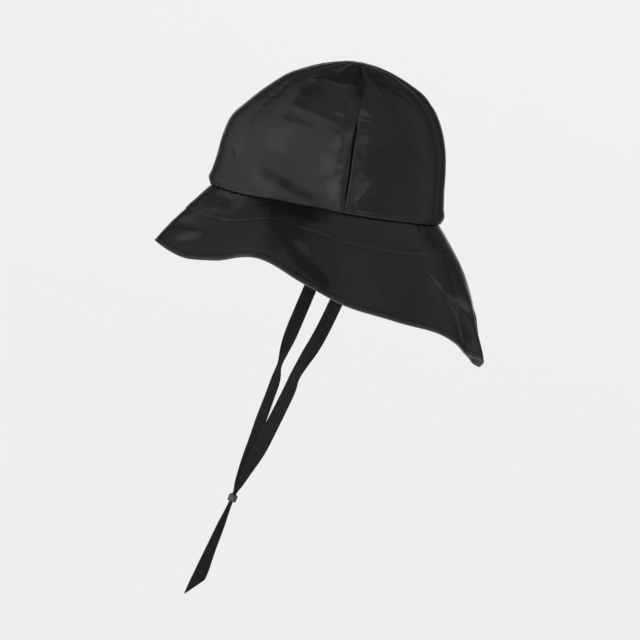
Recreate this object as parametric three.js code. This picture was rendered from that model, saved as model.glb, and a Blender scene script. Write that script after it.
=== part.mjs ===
import * as THREE from 'three';

// Sou'wester rain hat of coated cloth, in millimetres.
// +Z is up, the front of the hat faces -Y and the wearer's left is +X.
// The origin is the middle of the head opening, in the plane of the seam between crown and brim.

// Crown sizes
const crownLength = 206;
const crownWidth = 178;
const crownHeight = 124.5;
const crownWall = 1.2;
const apexOpening = 2;
const gatherDepth = 0.9;

// Brim sizes, measured along the cloth from the crown seam
const frontReach = 70.5;
const sideReach = 84;
const backReach = 132;
const bandWidth = 32;
const brimWall = 1.4;
const lapWidth = 6;
const stepFade = 24;
const hemWidth = 5;
const hemWall = 2.4;
const seamAllowance = 8;

// Chin strap and bead sizes
const tapeWidth = 12;
const tapeThickness = 1;
const bunchWidth = 3.3;
const bunchThickness = 1.4;
const strapDrop = 265;
const strapForward = 34.5;
const anchorAround = 108;
const tailLength = 92;
const tailForward = 21;
const tailSlant = 9;
const beadDiameter = 7.6;
const beadLength = 6.6;
const beadRound = 1.4;

// Clearance between neighbouring pieces
const seamGap = 0.3;

// Mesh steps
const stepsAcrossGore = 12;
const strandSteps = 26;
const tailSteps = 10;
const foldSteps = 6;
const beadSides = 16;

const degree = Math.PI / 180;

// Crown profile from the seam to the apex: height as a share of crownHeight, girth as a share of
// the seam ellipse, lean to the back as a share of half crownLength, and how deep the seams
// between the gores dip, as a share of the radius there.
const crownProfile = [
  { height: 0.000, girth: 0.962, lean: 0.000, dip: 0.008 },
  { height: 0.035, girth: 0.998, lean: 0.000, dip: 0.012 },
  { height: 0.100, girth: 0.985, lean: 0.000, dip: 0.014 },
  { height: 0.210, girth: 0.965, lean: 0.004, dip: 0.014 },
  { height: 0.350, girth: 0.952, lean: 0.006, dip: 0.016 },
  { height: 0.490, girth: 0.915, lean: 0.014, dip: 0.020 },
  { height: 0.580, girth: 0.855, lean: 0.036, dip: 0.026 },
  { height: 0.680, girth: 0.769, lean: 0.061, dip: 0.034 },
  { height: 0.785, girth: 0.656, lean: 0.080, dip: 0.044 },
  { height: 0.850, girth: 0.562, lean: 0.087, dip: 0.052 },
  { height: 0.910, girth: 0.425, lean: 0.090, dip: 0.060 },
  { height: 0.965, girth: 0.250, lean: 0.090, dip: 0.064 },
  { height: 0.992, girth: 0.110, lean: 0.090, dip: 0.064 },
  { height: 1.000, girth: 0.000, lean: 0.090, dip: 0.064 },
];

// Where the seams between the gores run, in degrees from the front, at shares of the way up.
const seamRoutes = [
  { up: 0.00, front: 27, side: 91, back: 150 },
  { up: 0.30, front: 27, side: 90, back: 150 },
  { up: 0.50, front: 24, side: 88, back: 150 },
  { up: 0.66, front: 21, side: 86, back: 150 },
  { up: 0.80, front: 26, side: 84, back: 150 },
  { up: 0.92, front: 36, side: 83, back: 150 },
  { up: 1.00, front: 44, side: 82, back: 150 },
];

// Soft dents in the crown: place in degrees from the front (left side positive) and up the
// profile, spread in degrees and in shares of the profile, depth as a share of crownWidth.
const crownDents = [
  { around: 88, up: 0.45, spreadAround: 6, spreadUp: 0.05, depth: 0.014 },
  { around: 48, up: 0.14, spreadAround: 11, spreadUp: 0.06, depth: 0.009 },
  { around: 66, up: 0.08, spreadAround: 11, spreadUp: 0.06, depth: 0.010 },
  { around: 80, up: 0.24, spreadAround: 7, spreadUp: 0.14, depth: -0.011 },
  { around: 103, up: 0.15, spreadAround: 5, spreadUp: 0.10, depth: -0.006 },
  { around: 114, up: 0.18, spreadAround: 8, spreadUp: 0.12, depth: 0.008 },
  { around: -70, up: 0.20, spreadAround: 18, spreadUp: 0.12, depth: 0.009 },
  { around: 180, up: 0.34, spreadAround: 16, spreadUp: 0.14, depth: 0.008 },
];

// Brim sections: place in degrees from the front, reach as a share of the named reach, and the
// slopes below level, in degrees, of the band beside the crown and of the skirt at the edge, each
// on the left and on the right side.
const brimSections = [
  { around: 0, of: 'front', reach: 1.00, bandLeft: 49, bandRight: 49, edgeLeft: 56, edgeRight: 56 },
  { around: 25, of: 'front', reach: 1.02, bandLeft: 56, bandRight: 55, edgeLeft: 64, edgeRight: 64 },
  { around: 42, of: 'front', reach: 0.99, bandLeft: 48, bandRight: 50, edgeLeft: 63, edgeRight: 63 },
  { around: 60, of: 'front', reach: 0.98, bandLeft: 23, bandRight: 30, edgeLeft: 62, edgeRight: 62 },
  { around: 78, of: 'side', reach: 0.94, bandLeft: 33, bandRight: 36, edgeLeft: 68, edgeRight: 67 },
  { around: 95, of: 'side', reach: 1.02, bandLeft: 52, bandRight: 50, edgeLeft: 69, edgeRight: 68 },
  { around: 115, of: 'side', reach: 1.09, bandLeft: 56, bandRight: 54, edgeLeft: 68, edgeRight: 68 },
  { around: 135, of: 'side', reach: 1.21, bandLeft: 54, bandRight: 46, edgeLeft: 65, edgeRight: 69 },
  { around: 155, of: 'back', reach: 0.92, bandLeft: 52, bandRight: 32, edgeLeft: 68, edgeRight: 79 },
  { around: 170, of: 'back', reach: 1.00, bandLeft: 50, bandRight: 42, edgeLeft: 71, edgeRight: 77 },
  { around: 180, of: 'back', reach: 1.00, bandLeft: 50, bandRight: 50, edgeLeft: 74, edgeRight: 74 },
];
const slopeStart = 0.12;
const slopeSpan = 0.6;

// Folds of the skirt: place and spread in degrees, share of the reach where a fold begins, and
// its height at the edge as a share of the side reach, outward when positive.
const brimFolds = [
  { around: 151, spread: 5, start: 0.34, height: -0.030 },
  { around: 160, spread: 4.5, start: 0.32, height: 0.042 },
  { around: 170, spread: 5, start: 0.42, height: -0.024 },
  { around: -154, spread: 7, start: 0.40, height: 0.026 },
  { around: -167, spread: 6, start: 0.45, height: -0.020 },
  { around: 118, spread: 9, start: 0.45, height: -0.012 },
  { around: -104, spread: 10, start: 0.42, height: 0.014 },
];

// Chin strap strands from the anchor to the bead: share of the drop, bow to the back of the left
// and the right strand as shares of the drop, how far the tape of the left and of the right strand
// is turned, as shares of a half turn, and how far both are gathered to the bunched width.
const strandRows = [
  { down: 0.00, bowLeft: 0.000, bowRight: 0.000, turnLeft: 0.00, turnRight: 0.00, gather: 0.00 },
  { down: 0.15, bowLeft: 0.009, bowRight: 0.000, turnLeft: 0.00, turnRight: 0.00, gather: 0.00 },
  { down: 0.30, bowLeft: 0.016, bowRight: -0.004, turnLeft: 0.01, turnRight: 0.01, gather: 0.00 },
  { down: 0.46, bowLeft: 0.0145, bowRight: -0.0105, turnLeft: 0.10, turnRight: 0.05, gather: 0.00 },
  { down: 0.52, bowLeft: 0.0075, bowRight: -0.012, turnLeft: 0.25, turnRight: 0.21, gather: 0.00 },
  { down: 0.57, bowLeft: 0.004, bowRight: -0.0095, turnLeft: 0.30, turnRight: 0.33, gather: 0.00 },
  { down: 0.61, bowLeft: 0.008, bowRight: -0.005, turnLeft: 0.23, turnRight: 0.22, gather: 0.00 },
  { down: 0.68, bowLeft: 0.0095, bowRight: -0.0035, turnLeft: 0.18, turnRight: 0.18, gather: 0.00 },
  { down: 0.76, bowLeft: 0.0095, bowRight: -0.003, turnLeft: 0.14, turnRight: 0.16, gather: 0.00 },
  { down: 0.85, bowLeft: 0.008, bowRight: 0.000, turnLeft: 0.06, turnRight: 0.12, gather: 0.05 },
  { down: 0.92, bowLeft: 0.003, bowRight: 0.000, turnLeft: 0.02, turnRight: 0.03, gather: 0.36 },
  { down: 0.97, bowLeft: 0.001, bowRight: -0.001, turnLeft: 0.00, turnRight: 0.00, gather: 0.72 },
  { down: 1.00, bowLeft: 0.000, bowRight: 0.000, turnLeft: 0.00, turnRight: 0.00, gather: 1.00 },
];

// Tail below the bead: share of its length and how far the tape is still gathered.
const tailRows = [
  { down: 0.00, gather: 1.00 },
  { down: 0.10, gather: 0.90 },
  { down: 0.24, gather: 0.68 },
  { down: 0.50, gather: 0.42 },
  { down: 0.76, gather: 0.14 },
  { down: 0.90, gather: 0.00 },
  { down: 1.00, gather: 0.00 },
];

const clothMaterial = new THREE.MeshStandardMaterial({ color: 0x262627, roughness: 0.42, metalness: 0 });
const tapeMaterial = new THREE.MeshStandardMaterial({ color: 0x1b1b1c, roughness: 0.9, metalness: 0 });
const beadMaterial = new THREE.MeshStandardMaterial({ color: 0x3a3a3c, roughness: 0.5, metalness: 0 });

const clamp = (value, low, high) => Math.min(high, Math.max(low, value));
const mix = THREE.MathUtils.lerp;
const easeBetween = (value) => {
  const x = clamp(value, 0, 1);
  return x * x * (3 - 2 * x);
};
const bell = (x) => Math.exp(-x * x);
const wrapAngle = (angle) => angle - 360 * Math.round(angle / 360);

// A smooth curve through a table's rows. Its ends are level, or else straight on.
function readTable(rows, along, column, at, endsLevel = true) {
  const last = rows.length - 1;
  const x = clamp(at, rows[0][along], rows[last][along]);
  let row = 0;
  while (row < last - 1 && x > rows[row + 1][along]) row += 1;
  const rise = (k) => (rows[k + 1][column] - rows[k][column]) / (rows[k + 1][along] - rows[k][along]);
  const grade = (k) => {
    if (k === 0) return endsLevel ? 0 : rise(0);
    if (k === last) return endsLevel ? 0 : rise(last - 1);
    const before = rows[k][along] - rows[k - 1][along];
    const after = rows[k + 1][along] - rows[k][along];
    return (rise(k - 1) * after + rise(k) * before) / (before + after);
  };
  const span = rows[row + 1][along] - rows[row][along];
  const t = (x - rows[row][along]) / span;
  const s = 1 - t;
  return (
    rows[row][column] * (1 + 2 * t) * s * s +
    grade(row) * span * t * s * s +
    rows[row + 1][column] * t * t * (1 + 2 * s) -
    grade(row + 1) * span * t * t * s
  );
}

// The profile rows get their place along the cloth, as a share of the way from seam to apex.
const profileUp = crownProfile.map((row) => ({ ...row, up: 0 }));
for (let k = 1; k < profileUp.length; k += 1) {
  const rise = (profileUp[k].height - profileUp[k - 1].height) * crownHeight;
  const run = ((profileUp[k].girth - profileUp[k - 1].girth) * crownLength) / 2;
  profileUp[k].up = profileUp[k - 1].up + Math.hypot(rise, run);
}
const profileLength = profileUp[profileUp.length - 1].up;
for (const row of profileUp) row.up /= profileLength;
const readProfile = (column, up) => readTable(profileUp, 'up', column, up, false);

// How near a place is to the seams beside it: 0 in the middle of a gore, 1 on a seam.
function seamNearness(around, up) {
  const turn = Math.abs(wrapAngle(around));
  const front = readTable(seamRoutes, 'up', 'front', up);
  const side = readTable(seamRoutes, 'up', 'side', up);
  const back = readTable(seamRoutes, 'up', 'back', up);
  const edges = [-front, front, side, back, 360 - back];
  const gore = turn < front ? 0 : turn < side ? 1 : turn < back ? 2 : 3;
  return Math.abs((2 * (turn - edges[gore])) / (edges[gore + 1] - edges[gore]) - 1);
}

const dipSharpness = 5;
const gatherWaves = 3;
const gatherTop = 0.97;
const gatherPeak = 0.88;
const gatherEnd = 0.68;

// Outer face of the crown at an angle from the front and a share of the way up.
function crownPoint(around, up) {
  const girth = readProfile('girth', up);
  const nearness = seamNearness(around, up);
  const rise = easeBetween((up - gatherEnd) / (gatherPeak - gatherEnd));
  const fall = easeBetween((gatherTop - up) / (gatherTop - gatherPeak));
  let sink = (gatherDepth * rise * fall * (1 - Math.cos(Math.PI * gatherWaves * nearness))) / 2;
  for (const dent of crownDents) {
    const across = wrapAngle(around - dent.around) / dent.spreadAround;
    sink += dent.depth * crownWidth * bell(across) * bell((up - dent.up) / dent.spreadUp);
  }
  const radius = (girth * crownWidth) / 2;
  const dip = readProfile('dip', up) * nearness ** dipSharpness;
  const scale = girth * (1 - dip) * (radius > 0 ? Math.max(0, 1 - sink / (radius + sink)) : 1);
  return new THREE.Vector3(
    (scale * Math.sin(around * degree) * crownWidth) / 2,
    ((readProfile('lean', up) - scale * Math.cos(around * degree)) * crownLength) / 2,
    readProfile('height', up) * crownHeight,
  );
}

const probe = 0.002;
const probeAngle = 0.5;

// Unit normal of the crown's outer face, pointing out of the hat.
function crownNormal(around, up) {
  const low = clamp(up - probe, 0, 1 - 2 * probe);
  const climb = crownPoint(around, low + 2 * probe).sub(crownPoint(around, low));
  const sweep = crownPoint(around + probeAngle, up).sub(crownPoint(around - probeAngle, up));
  return sweep.cross(climb).normalize();
}

// A point of the crown's outer face at a height above the seam, on the straight cloth between two
// rows of the profile, with the normal there.
function crownAtHeight(around, height) {
  const share = clamp(height / crownHeight, 0, 1);
  let row = 0;
  while (row < profileUp.length - 2 && share > profileUp[row + 1].height) row += 1;
  const [below, above] = [profileUp[row], profileUp[row + 1]];
  const part = (share - below.height) / (above.height - below.height);
  return {
    point: crownPoint(around, below.up).lerp(crownPoint(around, above.up), part),
    normal: crownNormal(around, mix(below.up, above.up, part)),
  };
}

// A closed solid through a row of closed loops. In a loop, point k faces point (last - k), so the
// two ends of an open row are closed by strips; a ring joins its last loop to its first.
function loftLoops(loops, isRing) {
  const size = loops[0].length;
  const positions = loops.flat().flatMap((p) => [p.x, p.y, p.z]);
  const faces = [];
  const addQuad = (a, b, c, d) => faces.push(a, b, c, a, c, d);
  const rowCount = isRing ? loops.length : loops.length - 1;
  for (let row = 0; row < rowCount; row += 1) {
    const next = (row + 1) % loops.length;
    for (let k = 0; k < size; k += 1) {
      const after = (k + 1) % size;
      addQuad(row * size + k, row * size + after, next * size + after, next * size + k);
    }
  }
  if (!isRing) {
    const end = (loops.length - 1) * size;
    for (let k = 0; k < size / 2 - 1; k += 1) {
      addQuad(size - 1 - k, size - 2 - k, k + 1, k);
      addQuad(end + k, end + k + 1, end + size - 2 - k, end + size - 1 - k);
    }
  }
  const volume = new THREE.Vector3();
  let sixfold = 0;
  for (let k = 0; k < faces.length; k += 3) {
    const [a, b, c] = [0, 1, 2].map((n) => new THREE.Vector3().fromArray(positions, 3 * faces[k + n]));
    sixfold += a.dot(volume.crossVectors(b, c));
  }
  const geometry = new THREE.BufferGeometry();
  geometry.setAttribute('position', new THREE.Float32BufferAttribute(positions, 3));
  geometry.setIndex(sixfold > 0 ? faces : faces.slice().reverse());
  geometry.computeVertexNormals();
  return geometry;
}

// A thin strip as a loop: out along its upper points, back along its lower ones.
const stripLoop = (upper, lower) => [...upper, ...lower.slice().reverse()];

// The crown's gores, each between two seams.
const gores = [
  { name: 'crown_gore_front', from: ['front', -1], to: ['front', 1] },
  { name: 'crown_gore_left_front', from: ['front', 1], to: ['side', 1] },
  { name: 'crown_gore_left_back', from: ['side', 1], to: ['back', 1] },
  { name: 'crown_gore_back', from: ['back', 1], to: ['back', -1] },
  { name: 'crown_gore_right_back', from: ['back', -1], to: ['side', -1] },
  { name: 'crown_gore_right_front', from: ['side', -1], to: ['front', -1] },
];

// The angle where a gore's edge runs, with all gores counted on round the hat from the front.
function goreEdges(gore, up) {
  const from = gore.from[1] * readTable(seamRoutes, 'up', gore.from[0], up);
  const to = gore.to[1] * readTable(seamRoutes, 'up', gore.to[0], up);
  return [from, to < from ? to + 360 : to];
}

function goreLoop(gore, up) {
  const [from, to] = goreEdges(gore, up);
  const middle = crownPoint((from + to) / 2, up);
  const lean = (readProfile('lean', up) * crownLength) / 2;
  const inset = seamGap / 2 / Math.hypot(middle.x, middle.y - lean) / degree;
  const upper = [];
  const lower = [];
  for (let k = 0; k <= stepsAcrossGore; k += 1) {
    const around = mix(from + inset, to - inset, k / stepsAcrossGore);
    const point = crownPoint(around, up);
    upper.push(point);
    lower.push(point.clone().addScaledVector(crownNormal(around, up), -crownWall));
  }
  return stripLoop(upper, lower);
}

// A gore has a row of points at each row of the profile, and ends at the opening of the apex.
function buildGore(gore) {
  const top = 1 - apexOpening / 2 / profileLength;
  return loftLoops(profileUp.map((row) => goreLoop(gore, Math.min(row.up, top))), false);
}

// The brim is laid out at the same angles as the gores' lower edges.
function anglesAround() {
  const angles = [];
  for (const gore of gores) {
    const [from, to] = goreEdges(gore, 0);
    for (let k = 0; k < stepsAcrossGore; k += 1) angles.push(mix(from, to, k / stepsAcrossGore));
  }
  return angles;
}

// The brim's sections with their reach in millimetres.
const brimReach = { front: frontReach, side: sideReach, back: backReach };
const brimTable = brimSections.map((row) => ({ ...row, reach: row.reach * brimReach[row.of] }));

// Level unit vector that points out of the hat at an angle from the front.
function outwardAt(around) {
  const across = Math.sin(around * degree) / crownWidth;
  const along = -Math.cos(around * degree) / crownLength;
  return new THREE.Vector3(across, along, 0).normalize();
}

function brimSlope(around, share) {
  const turn = Math.abs(wrapAngle(around));
  const side = wrapAngle(around) < 0 ? 'Right' : 'Left';
  const band = readTable(brimTable, 'around', `band${side}`, turn);
  const edge = readTable(brimTable, 'around', `edge${side}`, turn);
  return mix(band, edge, easeBetween((share - slopeStart) / slopeSpan)) * degree;
}

function foldHeight(around, share) {
  let height = 0;
  for (const fold of brimFolds) {
    const across = wrapAngle(around - fold.around) / fold.spread;
    height += fold.height * sideReach * bell(across) * easeBetween((share - fold.start) / (1 - fold.start));
  }
  return height;
}

const lineSteps = 48;

// The middle of the brim's cloth in the upright plane at an angle: how it leaves the crown seam,
// and then its point and upper normal at any length along the cloth.
function brimLine(around) {
  const turn = Math.abs(wrapAngle(around));
  const reach = readTable(brimTable, 'around', 'reach', turn);
  const outward = outwardAt(around);
  const up = new THREE.Vector3(0, 0, 1);
  const crownOut = crownNormal(around, 0);
  const innerCorner = crownPoint(around, 0).addScaledVector(crownOut, -crownWall);
  const upperNormal = (slope) =>
    outward.clone().multiplyScalar(Math.sin(slope)).addScaledVector(up, Math.cos(slope));
  const standOff = seamGap + brimWall / 2;
  const startNormal = upperNormal(brimSlope(around, 0));
  const start = innerCorner.clone().addScaledVector(startNormal, -standOff);
  const points = [start.clone()];
  for (let k = 0; k < lineSteps; k += 1) {
    const slope = brimSlope(around, (k + 0.5) / lineSteps);
    const stride = reach / lineSteps;
    const step = outward.clone().multiplyScalar(stride * Math.cos(slope));
    points.push(points[k].clone().add(step).addScaledVector(up, -stride * Math.sin(slope)));
  }
  const at = (length) => {
    const share = clamp(length / reach, 0, 1);
    const place = Math.min(share * lineSteps, lineSteps - 1e-6);
    const k = Math.floor(place);
    const normal = upperNormal(brimSlope(around, share));
    const point = points[k].clone().lerp(points[k + 1], place - k);
    return { point: point.addScaledVector(normal, foldHeight(around, share)), normal };
  };
  return { reach, crownOut, innerCorner, standOff, startNormal, at };
}

const flangeShares = [1, 0.5];
const bandSteps = 4;

// Upper band of the brim: its seam allowance stands up inside the crown, its cloth turns under
// the crown's edge and runs down to the seam in the middle of the brim.
function bandLoop(around) {
  const line = brimLine(around);
  const upper = [];
  const lower = [];
  const add = (point, normal) => {
    upper.push(point.clone().addScaledVector(normal, brimWall / 2));
    lower.push(point.clone().addScaledVector(normal, -brimWall / 2));
  };
  for (const share of flangeShares) {
    const { point, normal } = crownAtHeight(around, share * seamAllowance);
    add(point.addScaledVector(normal, -crownWall - line.standOff), normal);
  }
  const halfway = line.crownOut.clone().add(line.startNormal).normalize();
  for (const normal of [line.crownOut, halfway, line.startNormal]) {
    add(line.innerCorner.clone().addScaledVector(normal, -line.standOff), normal);
  }
  for (let k = 1; k <= bandSteps; k += 1) {
    const { point, normal } = line.at((bandWidth * k) / bandSteps);
    add(point, normal);
  }
  return stripLoop(upper, lower);
}

const skirtSteps = 6;

// Lower skirt of the brim: it starts under the band's edge, comes level with it lower down and
// ends in a turned-up hem.
function skirtLoop(around) {
  const line = brimLine(around);
  const upper = [];
  const lower = [];
  const drop = brimWall + seamGap;
  const sink = (length) => drop * (1 - easeBetween((length - bandWidth - drop) / stepFade));
  const top = (length) => {
    const { point, normal } = line.at(length);
    return { point: point.addScaledVector(normal, brimWall / 2 - sink(length)), normal };
  };
  const hemStart = line.reach - hemWidth;
  const lengths = [bandWidth - lapWidth, bandWidth + drop];
  for (let k = 1; k <= skirtSteps; k += 1) {
    lengths.push(mix(bandWidth + drop, hemStart, k / skirtSteps));
  }
  for (const length of lengths) {
    const { point, normal } = top(length);
    upper.push(point);
    lower.push(point.clone().addScaledVector(normal, -brimWall));
  }
  const hemIn = top(hemStart + (hemWall - brimWall) / 2);
  lower.push(hemIn.point.clone().addScaledVector(hemIn.normal, -hemWall));
  const hemOut = top(line.reach - hemWall / 2);
  upper.push(hemOut.point);
  lower.push(hemOut.point.clone().addScaledVector(hemOut.normal, -hemWall));
  const edge = top(line.reach);
  upper.push(edge.point.clone().addScaledVector(edge.normal, -hemWall / 4));
  lower.push(edge.point.clone().addScaledVector(edge.normal, (-3 * hemWall) / 4));
  return stripLoop(upper, lower);
}

// The chin strap is one tape: down from the left anchor, through the bead, round the fold at the
// end of the tail, back through the bead and up to the right anchor.
const beadPlace = new THREE.Vector3(0, -strapForward, -strapDrop);
const tailPath = new THREE.Vector3(0, -tailForward, -Math.sqrt(tailLength ** 2 - tailForward ** 2));
const tailDown = tailPath.clone().normalize();
const sideways = new THREE.Vector3(1, 0, 0);
const tapeAcross = new THREE.Vector3().crossVectors(sideways, tailDown).normalize();
const strandGap = seamGap + 0.1;

// One cross section of the tape, with its width along `across` and its thickness along `face`.
function tapeLoop(centre, across, face, gather) {
  const halfWidth = mix(tapeWidth, bunchWidth, gather) / 2;
  const halfThickness = mix(tapeThickness, bunchThickness, gather) / 2;
  const shares = [-1, 0, 1];
  const side = (sign) =>
    shares.map((share) =>
      centre.clone().addScaledVector(across, share * halfWidth).addScaledVector(face, sign * halfThickness),
    );
  return stripLoop(side(1), side(-1));
}

// How far the middle of a strand stands from the middle plane where both run side by side.
const strandOffset = (gather) => (mix(tapeThickness, bunchThickness, gather) + strandGap) / 2;

// Where the tape is sewn to the seam allowance inside the crown, at a height above the seam.
function anchorPoint(side, height) {
  const around = side * anchorAround;
  const bowOfSeam = tapeWidth ** 2 / 4 / crownWidth;
  const inset = crownWall + brimWall + 2 * seamGap + bowOfSeam + tapeThickness / 2;
  return crownAtHeight(around, height).point.addScaledVector(outwardAt(around), -inset);
}

// A strand's loops from its anchor down to the top of the bead.
function strandLoops(side) {
  const bow = side > 0 ? 'bowLeft' : 'bowRight';
  const twist = side > 0 ? 'turnLeft' : 'turnRight';
  const anchorAcross = new THREE.Vector3(0, 0, 1).cross(outwardAt(side * anchorAround)).normalize();
  if (anchorAcross.y < 0) anchorAcross.negate();
  const top = anchorPoint(side, seamAllowance);
  const low = anchorPoint(side, 0);
  const beadTop = beadPlace.clone().addScaledVector(tailDown, -beadLength / 2 - beadRound);
  beadTop.addScaledVector(sideways, side * strandOffset(1));
  const centreAt = (down) => {
    const point = low.clone().lerp(beadTop, down);
    point.y += readTable(strandRows, 'down', bow, down) * strapDrop;
    return point;
  };
  const loops = [tapeLoop(top, anchorAcross, outwardAt(side * anchorAround), 0)];
  for (let k = 0; k <= strandSteps; k += 1) {
    const down = k / strandSteps;
    const centre = centreAt(down);
    const ahead = centreAt(Math.min(down + probe, 1)).sub(centreAt(Math.max(down - probe, 0))).normalize();
    if (k === strandSteps) ahead.copy(tailDown);
    const across = anchorAcross.clone().lerp(tapeAcross, easeBetween(4 * down));
    across.addScaledVector(ahead, -across.dot(ahead)).normalize();
    const turn = side * readTable(strandRows, 'down', twist, down) * Math.PI;
    across.applyAxisAngle(ahead, turn);
    const face = new THREE.Vector3().crossVectors(ahead, across).normalize();
    if (side < 0) face.negate();
    loops.push(tapeLoop(centre, across, face, readTable(strandRows, 'down', 'gather', down)));
  }
  return loops;
}

// A layer of the tail from the lower end of the bead to where the fold begins. The slant at the
// end lets one edge of the tape run on further than the other.
function tailLoops(side) {
  const beadEnd = beadPlace.clone().addScaledVector(tailDown, beadLength / 2 + beadRound);
  const length = tailLength - beadLength / 2 - beadRound;
  const face = sideways.clone().multiplyScalar(side);
  const loops = [];
  for (let k = 0; k <= tailSteps; k += 1) {
    const down = k / tailSteps;
    const gather = readTable(tailRows, 'down', 'gather', down);
    const centre = beadEnd.clone().addScaledVector(tailDown, down * (length - tailSlant));
    centre.addScaledVector(face, strandOffset(gather));
    loops.push(tapeLoop(centre, slantedAcross(down), face, gather));
  }
  return loops;
}

function slantedAcross(down) {
  const slant = (2 * tailSlant * easeBetween((down - 0.5) * 2)) / tapeWidth;
  return tapeAcross.clone().addScaledVector(tailDown, -slant);
}

// The fold at the end of the tail, turning from the left layer to the right one.
function foldLoops() {
  const length = tailLength - tailSlant;
  const centre = beadPlace.clone().addScaledVector(tailDown, length);
  const loops = [];
  for (let k = 1; k < foldSteps; k += 1) {
    const turn = (Math.PI * k) / foldSteps;
    const face = sideways.clone().multiplyScalar(Math.cos(turn)).addScaledVector(tailDown, Math.sin(turn));
    const point = centre.clone().addScaledVector(face, strandOffset(0));
    loops.push(tapeLoop(point, slantedAcross(1), face, 0));
  }
  return loops;
}

function buildStrap() {
  const left = [...strandLoops(1), ...tailLoops(1)];
  const right = [...strandLoops(-1), ...tailLoops(-1)].reverse();
  return loftLoops([...left, ...foldLoops(), ...right], false);
}

// The bead: a drilled barrel with rounded ends.
function buildBead() {
  const bunchReach = Math.hypot(bunchWidth / 2, bunchThickness + strandGap / 2);
  const hole = (bunchReach + seamGap) / Math.cos(Math.PI / beadSides);
  const outer = beadDiameter / 2;
  const half = beadLength / 2;
  const bevel = Math.min(beadRound, (outer - hole) / 2);
  const profile = [
    [hole, -half + bevel / 2],
    [hole + bevel / 2, -half],
    [outer - bevel, -half],
    [outer - bevel / 4, -half + bevel],
    [outer, 0],
    [outer - bevel / 4, half - bevel],
    [outer - bevel, half],
    [hole + bevel / 2, half],
    [hole, half - bevel / 2],
  ];
  profile.push(profile[0]);
  return new THREE.LatheGeometry(profile.map(([x, y]) => new THREE.Vector2(x, y)), beadSides);
}

function addMesh(parent, name, geometry, material) {
  const mesh = new THREE.Mesh(geometry, material.clone());
  mesh.name = name;
  parent.add(mesh);
  return mesh;
}

const crown = new THREE.Group();
for (const gore of gores) addMesh(crown, gore.name, buildGore(gore), clothMaterial);

const brim = new THREE.Group();
addMesh(brim, 'brim_upper', loftLoops(anglesAround().map(bandLoop), true), clothMaterial);
addMesh(brim, 'brim_lower', loftLoops(anglesAround().map(skirtLoop), true), clothMaterial);

const chinStrap = new THREE.Group();
addMesh(chinStrap, 'chin_strap', buildStrap(), tapeMaterial);
const bead = addMesh(chinStrap, 'strap_bead', buildBead(), beadMaterial);
bead.position.copy(beadPlace);
bead.quaternion.setFromUnitVectors(new THREE.Vector3(0, -1, 0), tailDown);

const hat = new THREE.Group();
hat.add(crown, brim, chinStrap);

export default hat;
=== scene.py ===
from math import cos, pi, radians, sin

import bpy
import numpy as np
from mathutils import Matrix, Vector


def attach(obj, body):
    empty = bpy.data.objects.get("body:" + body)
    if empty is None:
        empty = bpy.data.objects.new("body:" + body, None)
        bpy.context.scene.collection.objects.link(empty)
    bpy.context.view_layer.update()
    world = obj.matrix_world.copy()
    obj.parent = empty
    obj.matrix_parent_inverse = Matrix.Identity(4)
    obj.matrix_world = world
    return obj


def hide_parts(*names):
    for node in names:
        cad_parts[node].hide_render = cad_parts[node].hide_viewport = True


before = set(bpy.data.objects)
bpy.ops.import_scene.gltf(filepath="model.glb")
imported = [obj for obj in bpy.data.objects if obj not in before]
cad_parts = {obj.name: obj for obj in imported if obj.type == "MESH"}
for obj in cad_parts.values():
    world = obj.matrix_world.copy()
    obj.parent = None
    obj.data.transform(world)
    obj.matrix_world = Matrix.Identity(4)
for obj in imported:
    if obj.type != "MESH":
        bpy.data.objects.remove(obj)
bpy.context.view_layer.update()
scene = bpy.context.scene
scene.view_settings.view_transform = "Standard"
scene.view_settings.look = "None"

# The hat's own shapes are worked out in millimetres and made in metres.
metres = 0.001

# Angles in degrees, lengths in metres; the sensor's width in millimetres.
cameraView = {
    "azimuth": 80.0,
    "elevation": 5.0,
    "roll": 10.2,
    "distance": 3.5,
    "metresPerPixel": 0.00086,
    "pixels": 640,
    "originAt": (325.5, 203.0),
    "sensorWidth": 36,
    "clipEnd": 60,
}


# The way from the hat towards a place round it.
def directionTo(azimuth, elevation):
    a, e = radians(azimuth), radians(elevation)
    return Vector((sin(a) * cos(e), -cos(a) * cos(e), sin(e)))


def makeCamera(view):
    a, r = radians(view["azimuth"]), radians(view["roll"])
    back = directionTo(view["azimuth"], view["elevation"])
    level = Vector((cos(a), sin(a), 0))
    plumb = back.cross(level)
    across = level * cos(r) + plumb * sin(r)
    upward = plumb * cos(r) - level * sin(r)
    right, down = ((view["pixels"] / 2 - place) * view["metresPerPixel"] for place in view["originAt"])
    aim = across * right - upward * down
    data = bpy.data.cameras.new("hatCamera")
    data.sensor_width = view["sensorWidth"]
    data.lens = view["sensorWidth"] * view["distance"] / (view["pixels"] * view["metresPerPixel"])
    data.clip_end = view["clipEnd"]
    camera = bpy.data.objects.new("hatCamera", data)
    turn = Matrix((across, upward, back)).transposed().to_4x4()
    camera.matrix_world = Matrix.Translation(aim + back * view["distance"]) @ turn
    scene.collection.objects.link(camera)
    scene.camera = camera


makeCamera(cameraView)
print("camera made")


# A smooth step from nothing to one.
def easeBetween(value):
    x = np.clip(value, 0, 1)
    return x * x * (3 - 2 * x)


def bell(x):
    return np.exp(-x * x)


# A patch that is flat in its middle and has a clear edge.
def patch(x):
    flatTo, fadeOver = 0.25, 1.25
    return 1 - easeBetween((x - flatTo) / fadeOver)


def wrapAngle(angle):
    return angle - 360 * np.round(angle / 360)


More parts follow.
